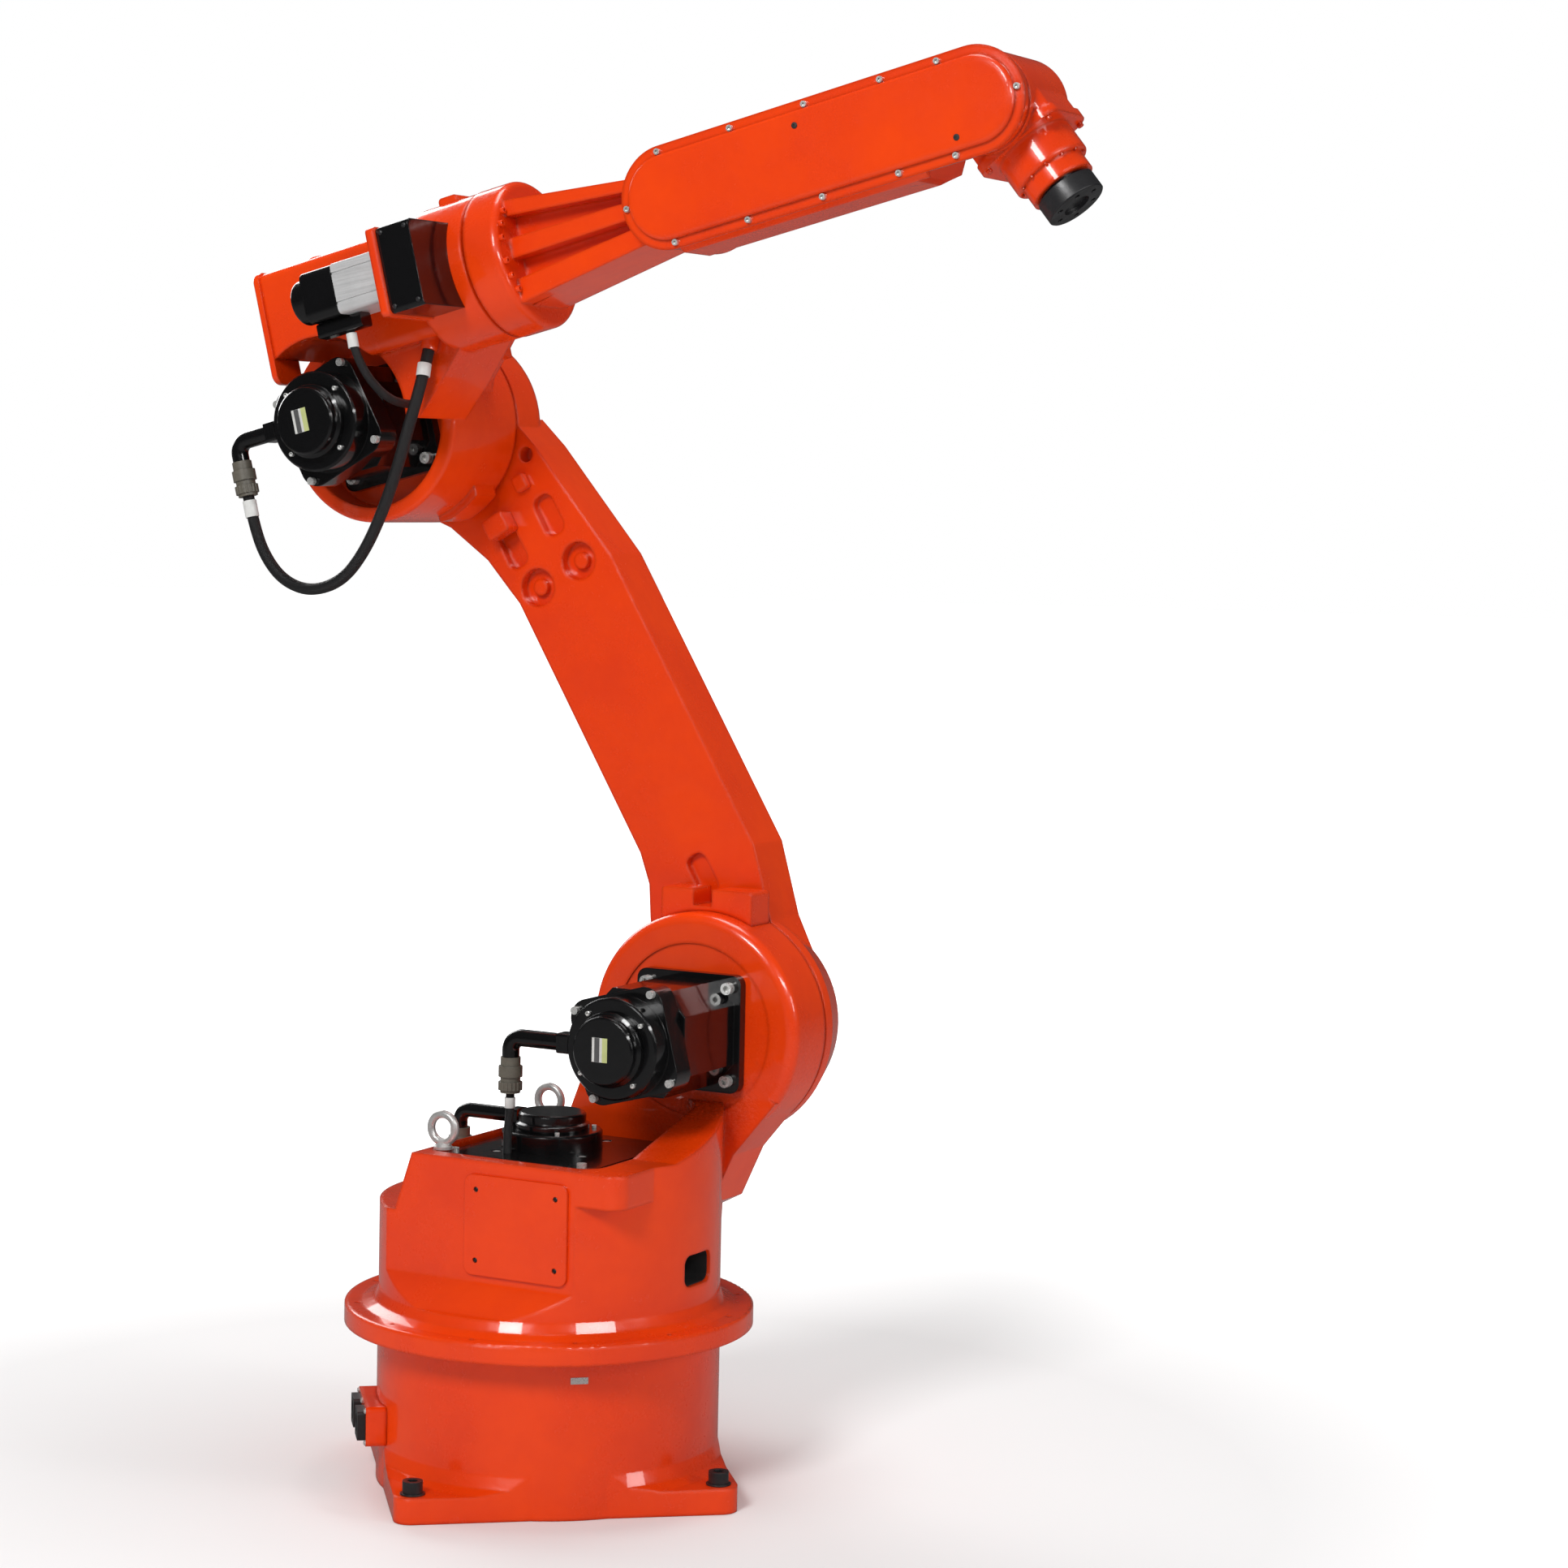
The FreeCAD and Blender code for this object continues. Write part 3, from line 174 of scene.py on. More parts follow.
# ------------------------------------------------ node groups shared by the finishes
def new_group(name, inputs, outputs):
    """An empty shader node group with its sockets, its input node and its output node."""
    group = bpy.data.node_groups.new(name, "ShaderNodeTree")
    for label, kind, value in inputs:
        socket = group.interface.new_socket(label, in_out="INPUT", socket_type=kind)
        if value is not None:
            socket.default_value = value
    for label, kind in outputs:
        group.interface.new_socket(label, in_out="OUTPUT", socket_type=kind)
    return group, group.nodes.new("NodeGroupInput"), group.nodes.new("NodeGroupOutput")


def noise_node(tree, source, scale, detail=3.0, roughness=0.5):
    """A noise texture whose vector comes from a socket; scale is a number or a socket."""
    noise = tree.nodes.new("ShaderNodeTexNoise")
    noise.inputs["Detail"].default_value = detail
    noise.inputs["Roughness"].default_value = roughness
    tree.links.new(source, noise.inputs["Vector"])
    feed(tree, scale, noise.inputs["Scale"])
    return noise


def feed(tree, value, socket):
    """Sets a socket to a number, or links it to another socket."""
    if isinstance(value, bpy.types.NodeSocket):
        tree.links.new(value, socket)
    else:
        socket.default_value = value


def maths(tree, operation, *values):
    node = tree.nodes.new("ShaderNodeMath")
    node.operation = operation
    for value, socket in zip(values, node.inputs):
        feed(tree, value, socket)
    return node.outputs[0]


def cast_surface_group():
    """Height of a painted casting: slow waves of the mould and a fine peel of the paint."""
    group, source, out = new_group(
        "Cast Surface",
        [("Vector", "NodeSocketVector", None), ("Wave Scale", "NodeSocketFloat", 14.0),
         ("Wave Depth", "NodeSocketFloat", 1.0), ("Peel Scale", "NodeSocketFloat", 260.0),
         ("Peel Depth", "NodeSocketFloat", 0.1)],
        [("Height", "NodeSocketFloat")])
    wave = noise_node(group, source.outputs["Vector"], source.outputs["Wave Scale"], 2.0, 0.45)
    peel = noise_node(group, source.outputs["Vector"], source.outputs["Peel Scale"], 2.0)
    slow = maths(group, "MULTIPLY", wave.outputs["Fac"], source.outputs["Wave Depth"])
    fine = maths(group, "MULTIPLY", peel.outputs["Fac"], source.outputs["Peel Depth"])
    group.links.new(maths(group, "ADD", slow, fine), out.inputs["Height"])
    return group


def handling_marks_group():
    """Soft patches from 0 to 1, where hands, dust and drips change the gloss and the tone."""
    group, source, out = new_group(
        "Handling Marks",
        [("Vector", "NodeSocketVector", None), ("Patch Scale", "NodeSocketFloat", 5.0),
         ("Speck Scale", "NodeSocketFloat", 90.0), ("Speck Share", "NodeSocketFloat", 0.25)],
        [("Patches", "NodeSocketFloat"), ("Specks", "NodeSocketFloat")])
    patch = noise_node(group, source.outputs["Vector"], source.outputs["Patch Scale"], 5.0, 0.6)
    speck = noise_node(group, source.outputs["Vector"], source.outputs["Speck Scale"], 4.0, 0.7)
    share = maths(group, "MULTIPLY", speck.outputs["Fac"], source.outputs["Speck Share"])
    group.links.new(patch.outputs["Fac"], out.inputs["Patches"])
    group.links.new(maths(group, "ADD", patch.outputs["Fac"], share), out.inputs["Specks"])
    return group


def drawn_lines_group():
    """Fine lines along one axis, as on extruded, turned or brushed metal."""
    group, source, out = new_group(
        "Drawn Lines",
        [("Vector", "NodeSocketVector", None), ("Line Scale", "NodeSocketVector", (4.0, 600.0, 600.0))],
        [("Lines", "NodeSocketFloat")])
    stretch = group.nodes.new("ShaderNodeVectorMath")
    stretch.operation = "MULTIPLY"
    group.links.new(source.outputs["Vector"], stretch.inputs[0])
    group.links.new(source.outputs["Line Scale"], stretch.inputs[1])
    lines = noise_node(group, stretch.outputs["Vector"], 1.0, 2.0)
    group.links.new(lines.outputs["Fac"], out.inputs["Lines"])
    return group


def braid_group():
    """Crossed strands of a braided sleeve, as a height from 0 to 1."""
    group, source, out = new_group(
        "Braided Sleeve",
        [("Vector", "NodeSocketVector", None), ("Strand Scale", "NodeSocketFloat", 330.0)],
        [("Height", "NodeSocketFloat")])
    heights = []
    for lean in (0.8, -0.8):
        turn = group.nodes.new("ShaderNodeMapping")
        turn.inputs["Rotation"].default_value = (lean, lean, 0.3)
        group.links.new(source.outputs["Vector"], turn.inputs["Vector"])
        wave = group.nodes.new("ShaderNodeTexWave")
        wave.inputs["Distortion"].default_value = 0.6
        group.links.new(turn.outputs["Vector"], wave.inputs["Vector"])
        group.links.new(source.outputs["Strand Scale"], wave.inputs["Scale"])
        heights.append(wave.outputs["Fac"])
    group.links.new(maths(group, "MAXIMUM", *heights), out.inputs["Height"])
    return group


GROUPS = {}


def shared_group(name):
    """The node group of that name, built the first time it is asked for."""
    if name not in GROUPS:
        makers = {"Cast Surface": cast_surface_group, "Handling Marks": handling_marks_group,
                  "Drawn Lines": drawn_lines_group, "Braided Sleeve": braid_group}
        GROUPS[name] = makers[name]()
    return GROUPS[name]


# ------------------------------------------------ finishes
def grey(value):
    return (value, value, value, 1.0)


def darker(colour, share):
    """A colour with each channel at a share of its value."""
    return tuple(channel * share for channel in colour[:3]) + (1.0,)


class Finish:
    """One material being built: its tree, its shader and its object coordinates."""

    def __init__(self, name, rotation=None):
        self.material = bpy.data.materials.new(name)
        self.material.use_nodes = True
        self.tree = self.material.node_tree
        self.shader = self.tree.nodes["Principled BSDF"]
        coords = self.tree.nodes.new("ShaderNodeTexCoord").outputs["Object"]
        if rotation is not None:
            turn = self.tree.nodes.new("ShaderNodeMapping")
            turn.inputs["Rotation"].default_value = rotation
            self.tree.links.new(coords, turn.inputs["Vector"])
            coords = turn.outputs["Vector"]
        self.coords = coords

    def set(self, **values):
        for label, value in values.items():
            self.shader.inputs[label.replace("_", " ")].default_value = value
        return self

    def group(self, name, **values):
        node = self.tree.nodes.new("ShaderNodeGroup")
        node.node_tree = shared_group(name)
        self.tree.links.new(self.coords, node.inputs["Vector"])
        for label, value in values.items():
            node.inputs[label.replace("_", " ")].default_value = value
        return node.outputs

    def ranged(self, source, low, high, to_low, to_high):
        node = self.tree.nodes.new("ShaderNodeMapRange")
        for label, value in (("From Min", low), ("From Max", high), ("To Min", to_low), ("To Max", to_high)):
            node.inputs[label].default_value = value
        self.tree.links.new(source, node.inputs["Value"])
        return node.outputs["Result"]

    def mixed(self, source, low, high, first, second):
        """A colour from first to second as source goes from low to high."""
        node = self.tree.nodes.new("ShaderNodeMix")
        node.data_type = "RGBA"
        self.tree.links.new(self.ranged(source, low, high, 0.0, 1.0), node.inputs["Factor"])
        feed(self.tree, first, node.inputs[6])
        feed(self.tree, second, node.inputs[7])
        return node.outputs[2]

    def colour(self, socket):
        self.tree.links.new(socket, self.shader.inputs["Base Color"])
        return self

    def roughness(self, socket):
        self.tree.links.new(socket, self.shader.inputs["Roughness"])
        return self

    def bump(self, height, distance, edge=0.0):
        """Relief on the shader, over edges softened to a radius."""
        node = self.tree.nodes.new("ShaderNodeBump")
        node.inputs["Distance"].default_value = distance
        self.tree.links.new(height, node.inputs["Height"])
        if edge:
            soft = self.tree.nodes.new("ShaderNodeBevel")
            soft.samples = 6
            soft.inputs["Radius"].default_value = edge
            self.tree.links.new(soft.outputs["Normal"], node.inputs["Normal"])
        self.tree.links.new(node.outputs["Normal"], self.shader.inputs["Normal"])
        return self


def enamel(name, edge, peel=0.04):
    """Glossy orange enamel over a casting."""
    colours = bpy.context.scene.robot_arm_colours
    finish = Finish(name)
    marks = finish.group("Handling Marks", Patch_Scale=4.0, Speck_Scale=70.0, Speck_Share=0.3)
    thin, deep = tuple(colours.enamel), tuple(colours.enamel_deep)
    finish.colour(finish.mixed(marks["Patches"], 0.35, 0.7, thin, deep))
    finish.roughness(finish.ranged(marks["Specks"], 0.4, 0.9, 0.20, 0.32))
    cast = finish.group("Cast Surface", Wave_Scale=16.0, Wave_Depth=1.0, Peel_Scale=300.0, Peel_Depth=peel)
    finish.bump(cast["Height"], 0.0022, edge)
    return finish.set(Coat_Weight=0.6, Coat_Roughness=0.04, Specular_IOR_Level=0.3).material


def rough_enamel(name, edge, patch_middle, patch_radius):
    """The enamel, with a patch of coarse sand-cast skin left under the paint."""
    material = enamel(name, edge)
    tree = material.node_tree
    coords = next(n for n in tree.nodes if n.type == "TEX_COORD").outputs["Object"]
    bump = next(n for n in tree.nodes if n.type == "BUMP")
    height = bump.inputs["Height"].links[0].from_socket
    away = tree.nodes.new("ShaderNodeVectorMath")
    away.operation = "DISTANCE"
    tree.links.new(coords, away.inputs[0])
    away.inputs[1].default_value = patch_middle
    inside = tree.nodes.new("ShaderNodeMapRange")
    for label, value in (("From Min", patch_radius), ("From Max", patch_radius * 0.5), ("To Min", 0.0),
                         ("To Max", 1.4)):
        inside.inputs[label].default_value = value
    tree.links.new(away.outputs["Value"], inside.inputs["Value"])
    sand = noise_node(tree, coords, 150.0, 6.0, 0.7)
    rough = maths(tree, "MULTIPLY", sand.outputs["Fac"], inside.outputs["Result"])
    tree.links.new(maths(tree, "ADD", height, rough), bump.inputs["Height"])
    return material


def gloss_black(name, colour, low, high, edge):
    """Gloss black enamel, with its roughness from low to high."""
    finish = Finish(name)
    marks = finish.group("Handling Marks", Patch_Scale=9.0, Speck_Scale=160.0, Speck_Share=0.5)
    finish.colour(finish.mixed(marks["Patches"], 0.35, 0.7, tuple(colour), darker(colour, 0.55)))
    finish.roughness(finish.ranged(marks["Specks"], 0.45, 1.1, low, high))
    cast = finish.group("Cast Surface", Wave_Scale=30.0, Wave_Depth=0.6, Peel_Scale=420.0, Peel_Depth=0.09)
    finish.bump(cast["Height"], 0.0012, edge)
    return finish.set(Coat_Weight=0.5, Coat_Roughness=0.06, Specular_IOR_Level=0.35).material


def metal(name, light, dark, low, high, line_scale, rotation=None, depth=0.0002):
    """Bare or plated metal with fine lines, with its roughness from low to high."""
    finish = Finish(name, rotation)
    marks = finish.group("Handling Marks", Patch_Scale=25.0, Speck_Scale=400.0, Speck_Share=0.4)
    lines = finish.group("Drawn Lines", Line_Scale=line_scale)
    finish.colour(finish.mixed(marks["Specks"], 0.4, 1.0, light, dark))
    finish.roughness(finish.ranged(lines["Lines"], 0.3, 0.7, low, high))
    finish.bump(lines["Lines"], depth)
    return finish.set(Metallic=0.6).material


def moulded(name, light, dark, low, high, grain=700.0, depth=0.0002, edge=0.0):
    """Moulded plastic or a satin coat with a fine grain."""
    finish = Finish(name)
    marks = finish.group("Handling Marks", Patch_Scale=30.0, Speck_Scale=260.0, Speck_Share=0.5)
    finish.colour(finish.mixed(marks["Specks"], 0.45, 1.0, light, dark))
    finish.roughness(finish.ranged(marks["Patches"], 0.35, 0.7, low, high))
    cast = finish.group("Cast Surface", Wave_Scale=60.0, Wave_Depth=0.3, Peel_Scale=grain, Peel_Depth=0.6)
    finish.bump(cast["Height"], depth, edge)
    return finish.material


def braided(name):
    """Black braided sleeve of the leads, with painted shade in the gaps between its strands."""
    finish = Finish(name)
    braid = finish.group("Braided Sleeve", Strand_Scale=330.0)
    # the gaps between the strands get a darker colour than the strands: painted shade
    gap_shade, strand = (0.003, 0.003, 0.0035, 1.0), (0.016, 0.016, 0.017, 1.0)
    finish.colour(finish.mixed(braid["Height"], 0.2, 0.9, gap_shade, strand))
    finish.roughness(finish.ranged(braid["Height"], 0.0, 1.0, 0.62, 0.42))
    return finish.bump(braid["Height"], 0.0006).material


FINISHES = {}


def make_finishes():
    """Builds every finish, by the name that the pieces ask for."""
    sizes = bpy.context.scene.robot_arm_sizes
    colours = bpy.context.scene.robot_arm_colours
    edge = sizes.edge_round
    patch_middle = COLUMN @ (Vector(CAST_PATCH) * MM)
    forearm_pitch = -math.asin(FOREARM_OUT.z)
    forearm_turn = math.atan2(FOREARM_OUT.y, FOREARM_OUT.x)
    FINISHES.update({
        "enamel": enamel("orange enamel on castings", edge),
        "column enamel": rough_enamel("orange enamel with cast patch", edge, patch_middle,
                                      CAST_PATCH_RADIUS * MM),
        "cover enamel": enamel("orange enamel on sheet covers", edge * 0.3, peel=0.02),
        "dome enamel": enamel("orange enamel on domed covers", edge * 1.3, peel=0.02),
        "small enamel": enamel("orange enamel on small parts", 0.0012, peel=0.01),
        "motor black": gloss_black("gloss black motor enamel", colours.motor, 0.12, 0.28, 0.0035),
        "belt cover black": gloss_black("gloss black belt cover", colours.motor, 0.08, 0.20, 0.0045),
        "stator": metal("drawn aluminium stator", grey(0.88), grey(0.74), 0.34, 0.52, (5.0, 500.0, 500.0),
                        (0.0, -forearm_pitch, -forearm_turn)),
        "zinc": metal("bright zinc screws", (0.82, 0.82, 0.80, 1.0), (0.58, 0.58, 0.56, 1.0), 0.22, 0.40,
                      (300.0, 300.0, 300.0)),
        "eye steel": metal("forged zinc eyebolts", (0.78, 0.78, 0.76, 1.0), (0.45, 0.45, 0.44, 1.0), 0.26,
                           0.50, (90.0, 90.0, 90.0), depth=0.0008),
        "black oxide": moulded("black oxide steel", (0.022, 0.022, 0.024, 1.0), (0.010, 0.010, 0.011, 1.0),
                               0.30, 0.48, edge=0.0012),
        "plug": moulded("olive plug shell", tuple(colours.plug), darker(colours.plug, 0.6), 0.36, 0.55,
                        edge=0.0012),
        "black plastic": moulded("black moulded plastic", (0.020, 0.020, 0.021, 1.0),
                                 (0.010, 0.010, 0.011, 1.0), 0.42, 0.60, edge=0.001),
        "rubber": moulded("black rubber", grey(0.018), (0.028, 0.027, 0.026, 1.0), 0.65, 0.85),
        "white sleeve": moulded("white sleeve plastic", (0.74, 0.74, 0.72, 1.0), (0.58, 0.58, 0.56, 1.0),
                                0.40, 0.58),
        "sticker pale": moulded("pale sticker", (0.66, 0.66, 0.63, 1.0), (0.50, 0.50, 0.48, 1.0), 0.30, 0.42),
        "sticker lime": moulded("yellow green sticker", (0.52, 0.56, 0.24, 1.0), (0.42, 0.46, 0.18, 1.0),
                                0.30, 0.42),
        "sticker grey": moulded("grey sticker band", grey(0.10), grey(0.07), 0.30, 0.42),
        "braid": braided("black braided sleeve"),
    })


# ------------------------------------------------ modelling helpers
SHARP = math.radians(30)            # edges sharper than this are bevelled
SMOOTH_UNDER = math.radians(35)     # edges softer than this are shaded smooth


def deselect():
    bpy.ops.object.select_all(action="DESELECT")


def edit_faces(piece, test, *steps):
    """Runs edit mode steps on the faces that pass a test."""
    bpy.context.view_layer.objects.active = piece
    bpy.context.tool_settings.mesh_select_mode = (False, False, True)
    for part in (piece.data.vertices, piece.data.edges):
        part.foreach_set("select", [False] * len(part))
    for face in piece.data.polygons:
        face.select = test(face)
    bpy.ops.object.mode_set(mode="EDIT")
    for step in steps:
        step()
    bpy.ops.object.mode_set(mode="OBJECT")


def inset(thickness, depth=0.0, single=False):
    return lambda: bpy.ops.mesh.inset(thickness=thickness, depth=depth, use_individual=single)


def pulled(distance):
    """Extrudes the selected faces along Z."""
    return lambda: bpy.ops.mesh.extrude_region_move(TRANSFORM_OT_translate={"value": (0, 0, distance)})


def on_top(face):
    return face.normal.z > 0.9


def bevelled(piece, width, segments=2):
    """Rounds the piece's edges with an applied bevel."""
    modifier = piece.modifiers.new("edge", "BEVEL")
    modifier.width = width
    modifier.segments = segments
    modifier.limit_method = "ANGLE"
    modifier.angle_limit = SHARP
    bpy.context.view_layer.objects.active = piece
    bpy.ops.object.modifier_apply(modifier=modifier.name)


def new_cylinder(radius, depth, vertices=32, inner=0.0):
    """A cylinder standing on z = 0, or a ring where inner is its bore."""
    deselect()
    bpy.ops.mesh.primitive_cylinder_add(vertices=vertices, radius=radius, depth=depth,
                                        location=(0, 0, depth / 2))
    piece = bpy.context.object
    bpy.ops.object.transform_apply(location=True, rotation=True, scale=True)
    if inner:
        edit_faces(piece, lambda f: abs(f.normal.z) > 0.9, inset(radius - inner),
                   lambda: bpy.ops.mesh.bridge_edge_loops())
    return piece


def new_plate(width, height, thickness, columns=1):
    """A plate on z = 0, in equal columns across its width."""
    deselect()
    bpy.ops.mesh.primitive_grid_add(x_subdivisions=columns, y_subdivisions=1, size=1.0)
    piece = bpy.context.object
    piece.scale = (width, height, 1.0)
    bpy.ops.object.transform_apply(location=True, rotation=True, scale=True)
    edit_faces(piece, lambda f: True, pulled(thickness))
    recalculate(piece)
    return piece


def recalculate(piece):
    edit_faces(piece, lambda f: True, lambda: bpy.ops.mesh.normals_make_consistent(inside=False))


def facing(body, point, direction, spin=0.0):
    """The place of a fitting: its Z along a direction at a point, both in a body's frame in millimetres."""
    turn = Vector(direction).to_track_quat("Z", "Y").to_matrix().to_4x4()
    return body @ Matrix.Translation(Vector(point) * MM) @ turn @ Matrix.Rotation(spin, 4, "Z")


def finished(piece, name, body, finish):
    """Names a piece, gives it its finish and its body, and shades it smooth between sharp edges."""
    piece.name = name
    piece.data.name = name
    if finish:
        piece.data.materials.clear()
        piece.data.materials.append(FINISHES[finish])
    deselect()
    piece.select_set(True)
    bpy.context.view_layer.objects.active = piece
    bpy.ops.object.shade_smooth_by_angle(angle=SMOOTH_UNDER)
    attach(piece, body)
    return piece


def spread(master, places, name, body, finish):
    """Copies a fitting to its places, each with its own mesh, and joins them as one piece."""
    copies = []
    for place in places:
        copy = master.copy()
        copy.data = master.data.copy()
        copy.data.transform(place)
        bpy.context.collection.objects.link(copy)
        copies.append(copy)
    bpy.data.objects.remove(master)
    deselect()
    for copy in copies:
        copy.select_set(True)
    bpy.context.view_layer.objects.active = copies[0]
    if len(copies) > 1:
        bpy.ops.object.join()
    return finished(bpy.context.view_layer.objects.active, name, body, finish)


def on_circle(radius, count, start=0.0):
    turns = [math.radians(start + 360.0 * k / count) for k in range(count)]
    return [(radius * math.cos(t), radius * math.sin(t)) for t in turns]


def cap_screw(radius, height):
    """A socket head screw standing on z = 0, with a rounded crown and a round socket."""
    screw = new_cylinder(radius, height, 20)
    edit_faces(screw, on_top, inset(radius * 0.14, height * 0.08), inset(radius * 0.30),
               pulled(-height * 0.55))
    return screw


def button_screw(radius, height):
    """A low domed screw with a small socket."""
    screw = new_cylinder(radius, height * 0.5, 20)
    edit_faces(screw, on_top, inset(radius * 0.25, height * 0.32), inset(radius * 0.28, height * 0.18),
               inset(radius * 0.12), pulled(-height * 0.5))
    return screw


# ------------------------------------------------ operators
class ROBOTARM_OT_finishes(bpy.types.Operator):
    """Builds the finishes and puts them on the model's own pieces"""
    bl_idname = "robot_arm.finishes"
    bl_label = "Finishes"

    by_node = {
        "column enamel": ("column_casting",),
        "cover enamel": ("side_cover", "tail_cover", "wrist_cap"),
        "dome enamel": ("near_cover", "far_cover"),
        "motor black": ("turn_motor", "turn_motor_shield", "turn_motor_cap", "turn_motor_plate",
                        "shoulder_motor", "shoulder_motor_shield", "shoulder_motor_cap", "elbow_motor",
                        "elbow_motor_shield", "elbow_motor_cap", "roll_motor_rear", "column_connectors",
                        "elbow_connector"),
        "belt cover black": ("roll_drive_cover",),
        "stator": ("roll_motor",),
        "zinc": ("column_motor_screws", "elbow_motor_screws", "cover_screws"),
        "eye steel": ("eyebolts",),
        "black oxide": ("foot_bolts", "tool_flange"),
        "plug": ("column_plugs", "elbow_plug"),
        "black plastic": ("base_sockets",),
        "rubber": ("travel_stop",),
        "braid": ("turn_lead",),
    }

    def execute(self, context):
        make_finishes()
        chosen = {node: finish for finish, nodes in self.by_node.items() for node in nodes}
        for name, node in frame["nodes"].items():
            node.data.materials.clear()
            node.data.materials.append(FINISHES[chosen.get(name, "enamel")])
        return {"FINISHED"}


class ROBOTARM_OT_leads(bpy.types.Operator):
    """Makes the motors' leads as smooth curves along their routes"""
    bl_idname = "robot_arm.leads"
    bl_label = "Leads"

    def execute(self, context):
        sizes = context.scene.robot_arm_sizes
        for node, (body_matrix, body, points) in LEADS.items():
            diameter = sizes.thick_lead if node == "elbow_lead" else sizes.thin_lead
            curve = bpy.data.curves.new(node + "_sleeve", "CURVE")
            curve.dimensions = "3D"
            curve.bevel_depth = diameter / 2
            curve.bevel_resolution = 6
            curve.resolution_u = 12
            curve.use_fill_caps = True
            route = [body_matrix @ (Vector(point) * MM) for point in points]
            spline = curve.splines.new("NURBS")
            spline.points.add(len(route) - 1)
            for control, place in zip(spline.points, route):
                control.co = (*place, 1.0)
            spline.order_u = 3
            spline.use_endpoint_u = True
            lead = bpy.data.objects.new(node + "_sleeve", curve)
            context.collection.objects.link(lead)
            curve.materials.append(FINISHES["braid"])
            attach(lead, body)
            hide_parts(node)
        return {"FINISHED"}


class ROBOTARM_OT_sleeves(bpy.types.Operator):
    """Adds the white marker sleeves and the knurled coupling rings of the plugs"""
    bl_idname = "robot_arm.sleeves"
    bl_label = "Sleeves and rings"

    # each marker sleeve's frame, body, place, direction along its lead, lead and length
    markers = (
        (UPPER, "upper_arm", (-158, -68, -112), (0, 0, 1), "thick_lead", 0.026),
        (UPPER, "upper_arm", (187.5, -54, 24), (11, 14, 50), "thick_lead", 0.020),
        (UPPER, "upper_arm", (140, -150, 76), (0, 0.04, 1), "thin_lead", 0.022),
        (COLUMN, "column", (-28.7, -76, 570), (0, 0, 1), "thin_lead", 0.016),
    )
    marker_wall, marker_slack = 0.0012, 0.0004
    column_rings = ((-29, -75, 597), (-165, 0, 466))
    elbow_ring = (-158, -68, -75)
    ring_radius, ring_bore, ring_high = 0.0172, 0.0146, 0.013
    ring_sides = 36

    def execute(self, context):
        sizes = context.scene.robot_arm_sizes
        for number, (home, body, point, along, lead, length) in enumerate(self.markers):
            sleeve = self.marker(getattr(sizes, lead) / 2, length)
            spread(sleeve, [facing(home, point, along)], f"marker_sleeve_{number + 1}", body, "white sleeve")
        rings = [facing(COLUMN, point, (0, 0, 1)) for point in self.column_rings]
        spread(self.ring(), rings, "column_coupling_rings", "column", "plug")
        spread(self.ring(), [facing(UPPER, self.elbow_ring, (0, 0, 1))], "elbow_coupling_ring", "upper_arm",
               "plug")
        return {"FINISHED"}

    def marker(self, lead_radius, length):
        """A loose white sleeve with rolled ends round a lead."""
        bore = lead_radius + self.marker_slack
        sleeve = new_cylinder(bore + self.marker_wall, length, 28, bore)
        bevelled(sleeve, self.marker_wall / 2)
        return sleeve

    def ring(self):
        """A coupling ring with every other side of its rim raised as a coarse knurl."""
        ring = new_cylinder(self.ring_radius, self.ring_high, self.ring_sides, self.ring_bore)
        middle = (self.ring_radius + self.ring_bore) / 2
        step = 360 // self.ring_sides

        def knurled(face):
            side = math.degrees(math.atan2(face.center.y, face.center.x)) // step
            return abs(face.normal.z) < 0.2 and face.center.xy.length > middle and int(side) % 2 == 0

        edit_faces(ring, knurled, inset(0.0004, 0.0009, True))
        return ring


class ROBOTARM_OT_motor_fittings(bpy.types.Operator):
    """Adds the bells' screws and the small plain stickers on the encoder caps"""
    bl_idname = "robot_arm.motor_fittings"
    bl_label = "Motor fittings"

    bell_circle, first_screw = 63.5, 38      # radius in millimetres, and degrees
    head = 0.004
    label_wide, label_high, label_thick = 0.026, 0.036, 0.0005

    def execute(self, context):
        radius = context.scene.robot_arm_sizes.bell_screw
        circle = on_circle(self.bell_circle, 4, self.first_screw)
        column = [facing(SHOULDER, (x, SHOULDER_BELL, z), (0, -1, 0)) for x, z in circle]
        column += [facing(COLUMN, (x, y, TURN_BELL), (0, 0, 1)) for x, y in circle]
        spread(cap_screw(radius, self.head), column, "column_bell_screws", "column", "zinc")
        upper = [facing(UPPER, (x, ELBOW_BELL, z), (0, -1, 0)) for x, z in circle]
        spread(cap_screw(radius, self.head), upper, "elbow_bell_screws", "upper_arm", "zinc")
        self.sticker("shoulder_sticker", SHOULDER, (-4, SHOULDER_BELL - CAP_DEEP, 2), "column")
        self.sticker("elbow_sticker", UPPER, (-6, ELBOW_BELL - CAP_DEEP, 2), "upper_arm")
        return {"FINISHED"}

    def sticker(self, name, body_matrix, point, body):
        """A thin label in plain bands: pale, with a grey band near its middle and a lime one at its end."""
        plate = new_plate(self.label_wide, self.label_high, self.label_thick, 6)
        for band in ("sticker grey", "sticker pale", "sticker lime"):
            plate.data.materials.append(FINISHES[band])
        for face in plate.data.polygons:
            across = face.center.x / self.label_wide + 0.5
            face.material_index = 2 if across > 0.66 else 1
            if 0.16 < across < 0.5 and on_top(face):
                face.material_index = 0
        bevelled(plate, 0.0002, 1)
        plate.data.transform(facing(body_matrix, point, (0, -1, 0)))
        finished(plate, name, body, None)


